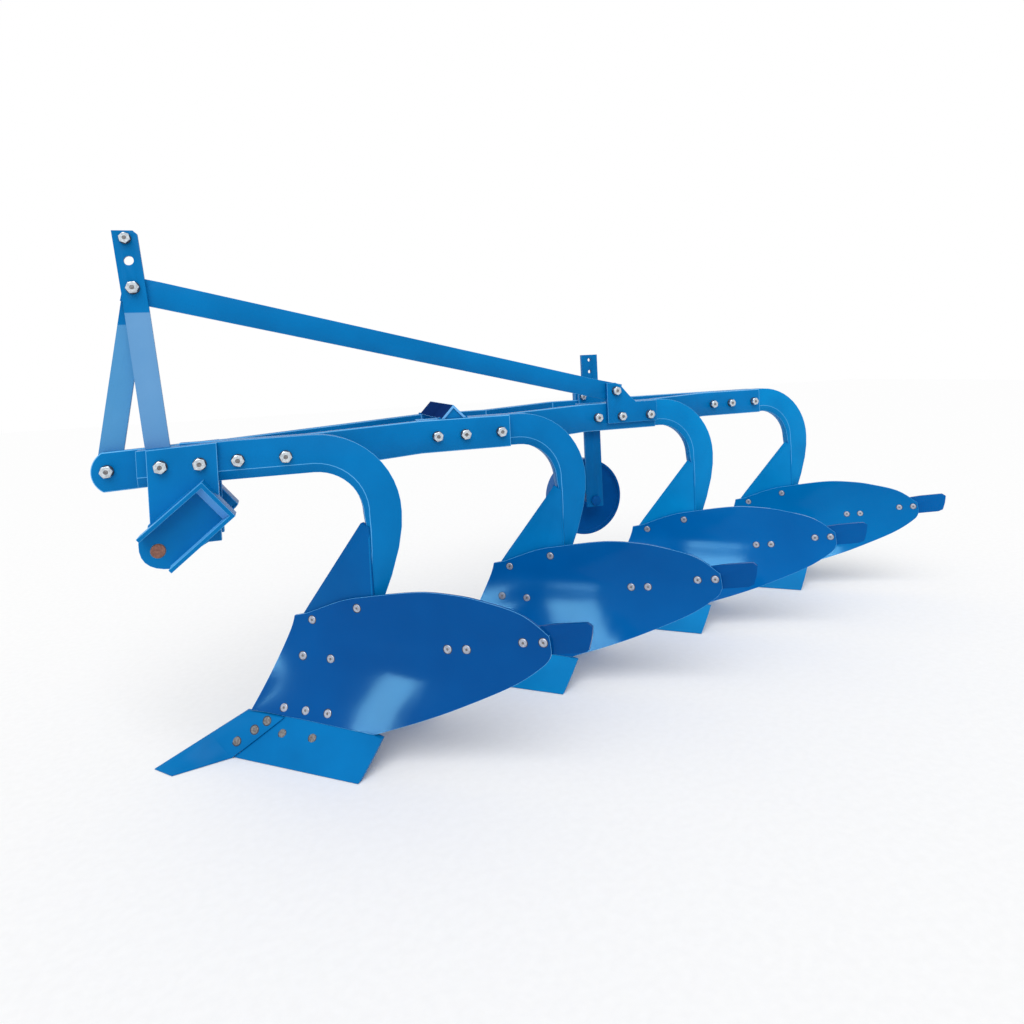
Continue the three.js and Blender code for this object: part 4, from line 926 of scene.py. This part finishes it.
def addLamp(name, kind, place, target, settings):
    lamp = bpy.data.lights.new(name, kind)
    for key, value in settings.items():
        setattr(lamp, key, value)
    holder = bpy.data.objects.new(name, lamp)
    holder.location = place
    holder.rotation_euler = (Vector(target) - Vector(place)).to_track_quat("-Z", "Y").to_euler()
    bpy.context.scene.collection.objects.link(holder)
    return holder


# One broad lamp, high and to the left, shades the plough softly
broad = {"energy": lightShape["sunWatts"], "angle": math.radians(lightShape["sunSpread"])}
addLamp("broad_soft_lamp", "SUN", lightShape["sunFrom"], (0, 0, 0), broad)

# Pale strips that only the gloss of one board shows: the light that each board of the photograph mirrors. Each
# row: body, place on its board (along, height), the strip's azimuth and elevation from there in degrees, its
# width and height in millimetres and its roll in degrees. Their power gives all the same brightness.
mirrored = [(0, 290, 130, 24.3, 9.6, 127, 410, 20), (1, 300, 150, 37.9, 11.4, 190, 450, -8)]
mirrored += [(2, 250, 200, 50.4, 4.4, 240, 200, 0), (3, 380, 95, 52.9, 35.1, 190, 400, 8)]
stripShape = {"away": 1.0, "radiance": 68, "color": (0.28, 0.75, 1.0)}
for k, along, height, azimuth, elevation, wide, tall, roll in mirrored:
    spot = metres(workingPoints(np.array([[along]]), np.array([[height]]))[0, 0] + k * pitch)
    a, e = math.radians(azimuth), math.radians(elevation)
    ahead = np.array([math.cos(a) * math.cos(e), math.sin(a) * math.cos(e), math.sin(e)])
    strip = {"shape": "RECTANGLE", "size": wide / 1000, "size_y": tall / 1000, "color": stripShape["color"]}
    strip["energy"] = stripShape["radiance"] * math.pi * wide * tall / 1e6
    holder = addLamp(f"mirrored_strip_{k + 1}", "AREA", tuple(spot + stripShape["away"] * ahead), tuple(spot), strip)
    holder.rotation_euler.rotate_axis("Z", math.radians(roll))
    holder.visible_diffuse = holder.visible_camera = False
    ownBoard = bpy.data.collections.new(f"mirrored_in_board_{k + 1}")
    ownBoard.objects.link(bpy.data.objects[f"board_sheet_{k + 1}"])
    holder.light_linking.receiver_collection = ownBoard
    holder.light_linking.blocker_collection = ownBoard

# Camera: place and turn solved from the photograph's own perspective. Focal length, centre and frame are in pixels,
# the turns in radians and the sensor in mm.
view = {"focal": 729.06, "centre": (507.818, 384.519), "place": eye, "frame": 1024, "sensor": 36, "farMetres": 60}
view |= {"pan": 1.2587073691710617, "tilt": 0.027348533933095328, "roll": -0.04764414135057628}
pan, tilt, roll = view["pan"], view["tilt"], view["roll"]
look = Vector((-math.cos(pan) * math.cos(tilt), -math.sin(pan) * math.cos(tilt), -math.sin(tilt)))
right = Vector((-math.sin(pan), math.cos(pan), 0))
up = right.cross(look)
across = math.cos(roll) * right + math.sin(roll) * up
upward = -math.sin(roll) * right + math.cos(roll) * up
camera = bpy.data.objects.new("camera", bpy.data.cameras.new("camera"))
turn = Matrix((across, upward, -look)).transposed().to_4x4()
camera.matrix_world = Matrix.Translation(Vector(metres(view["place"]))) @ turn
camera.data.sensor_width = view["sensor"]
camera.data.lens = view["sensor"] * view["focal"] / view["frame"]
camera.data.shift_x = (view["frame"] / 2 - view["centre"][0]) / view["frame"]
camera.data.shift_y = (view["centre"][1] - view["frame"] / 2) / view["frame"]
camera.data.clip_end = view["farMetres"]
bpy.context.scene.collection.objects.link(camera)
bpy.context.scene.camera = camera
bpy.context.scene.view_settings.view_transform = "Standard"

print("stage: floor, light and camera set")
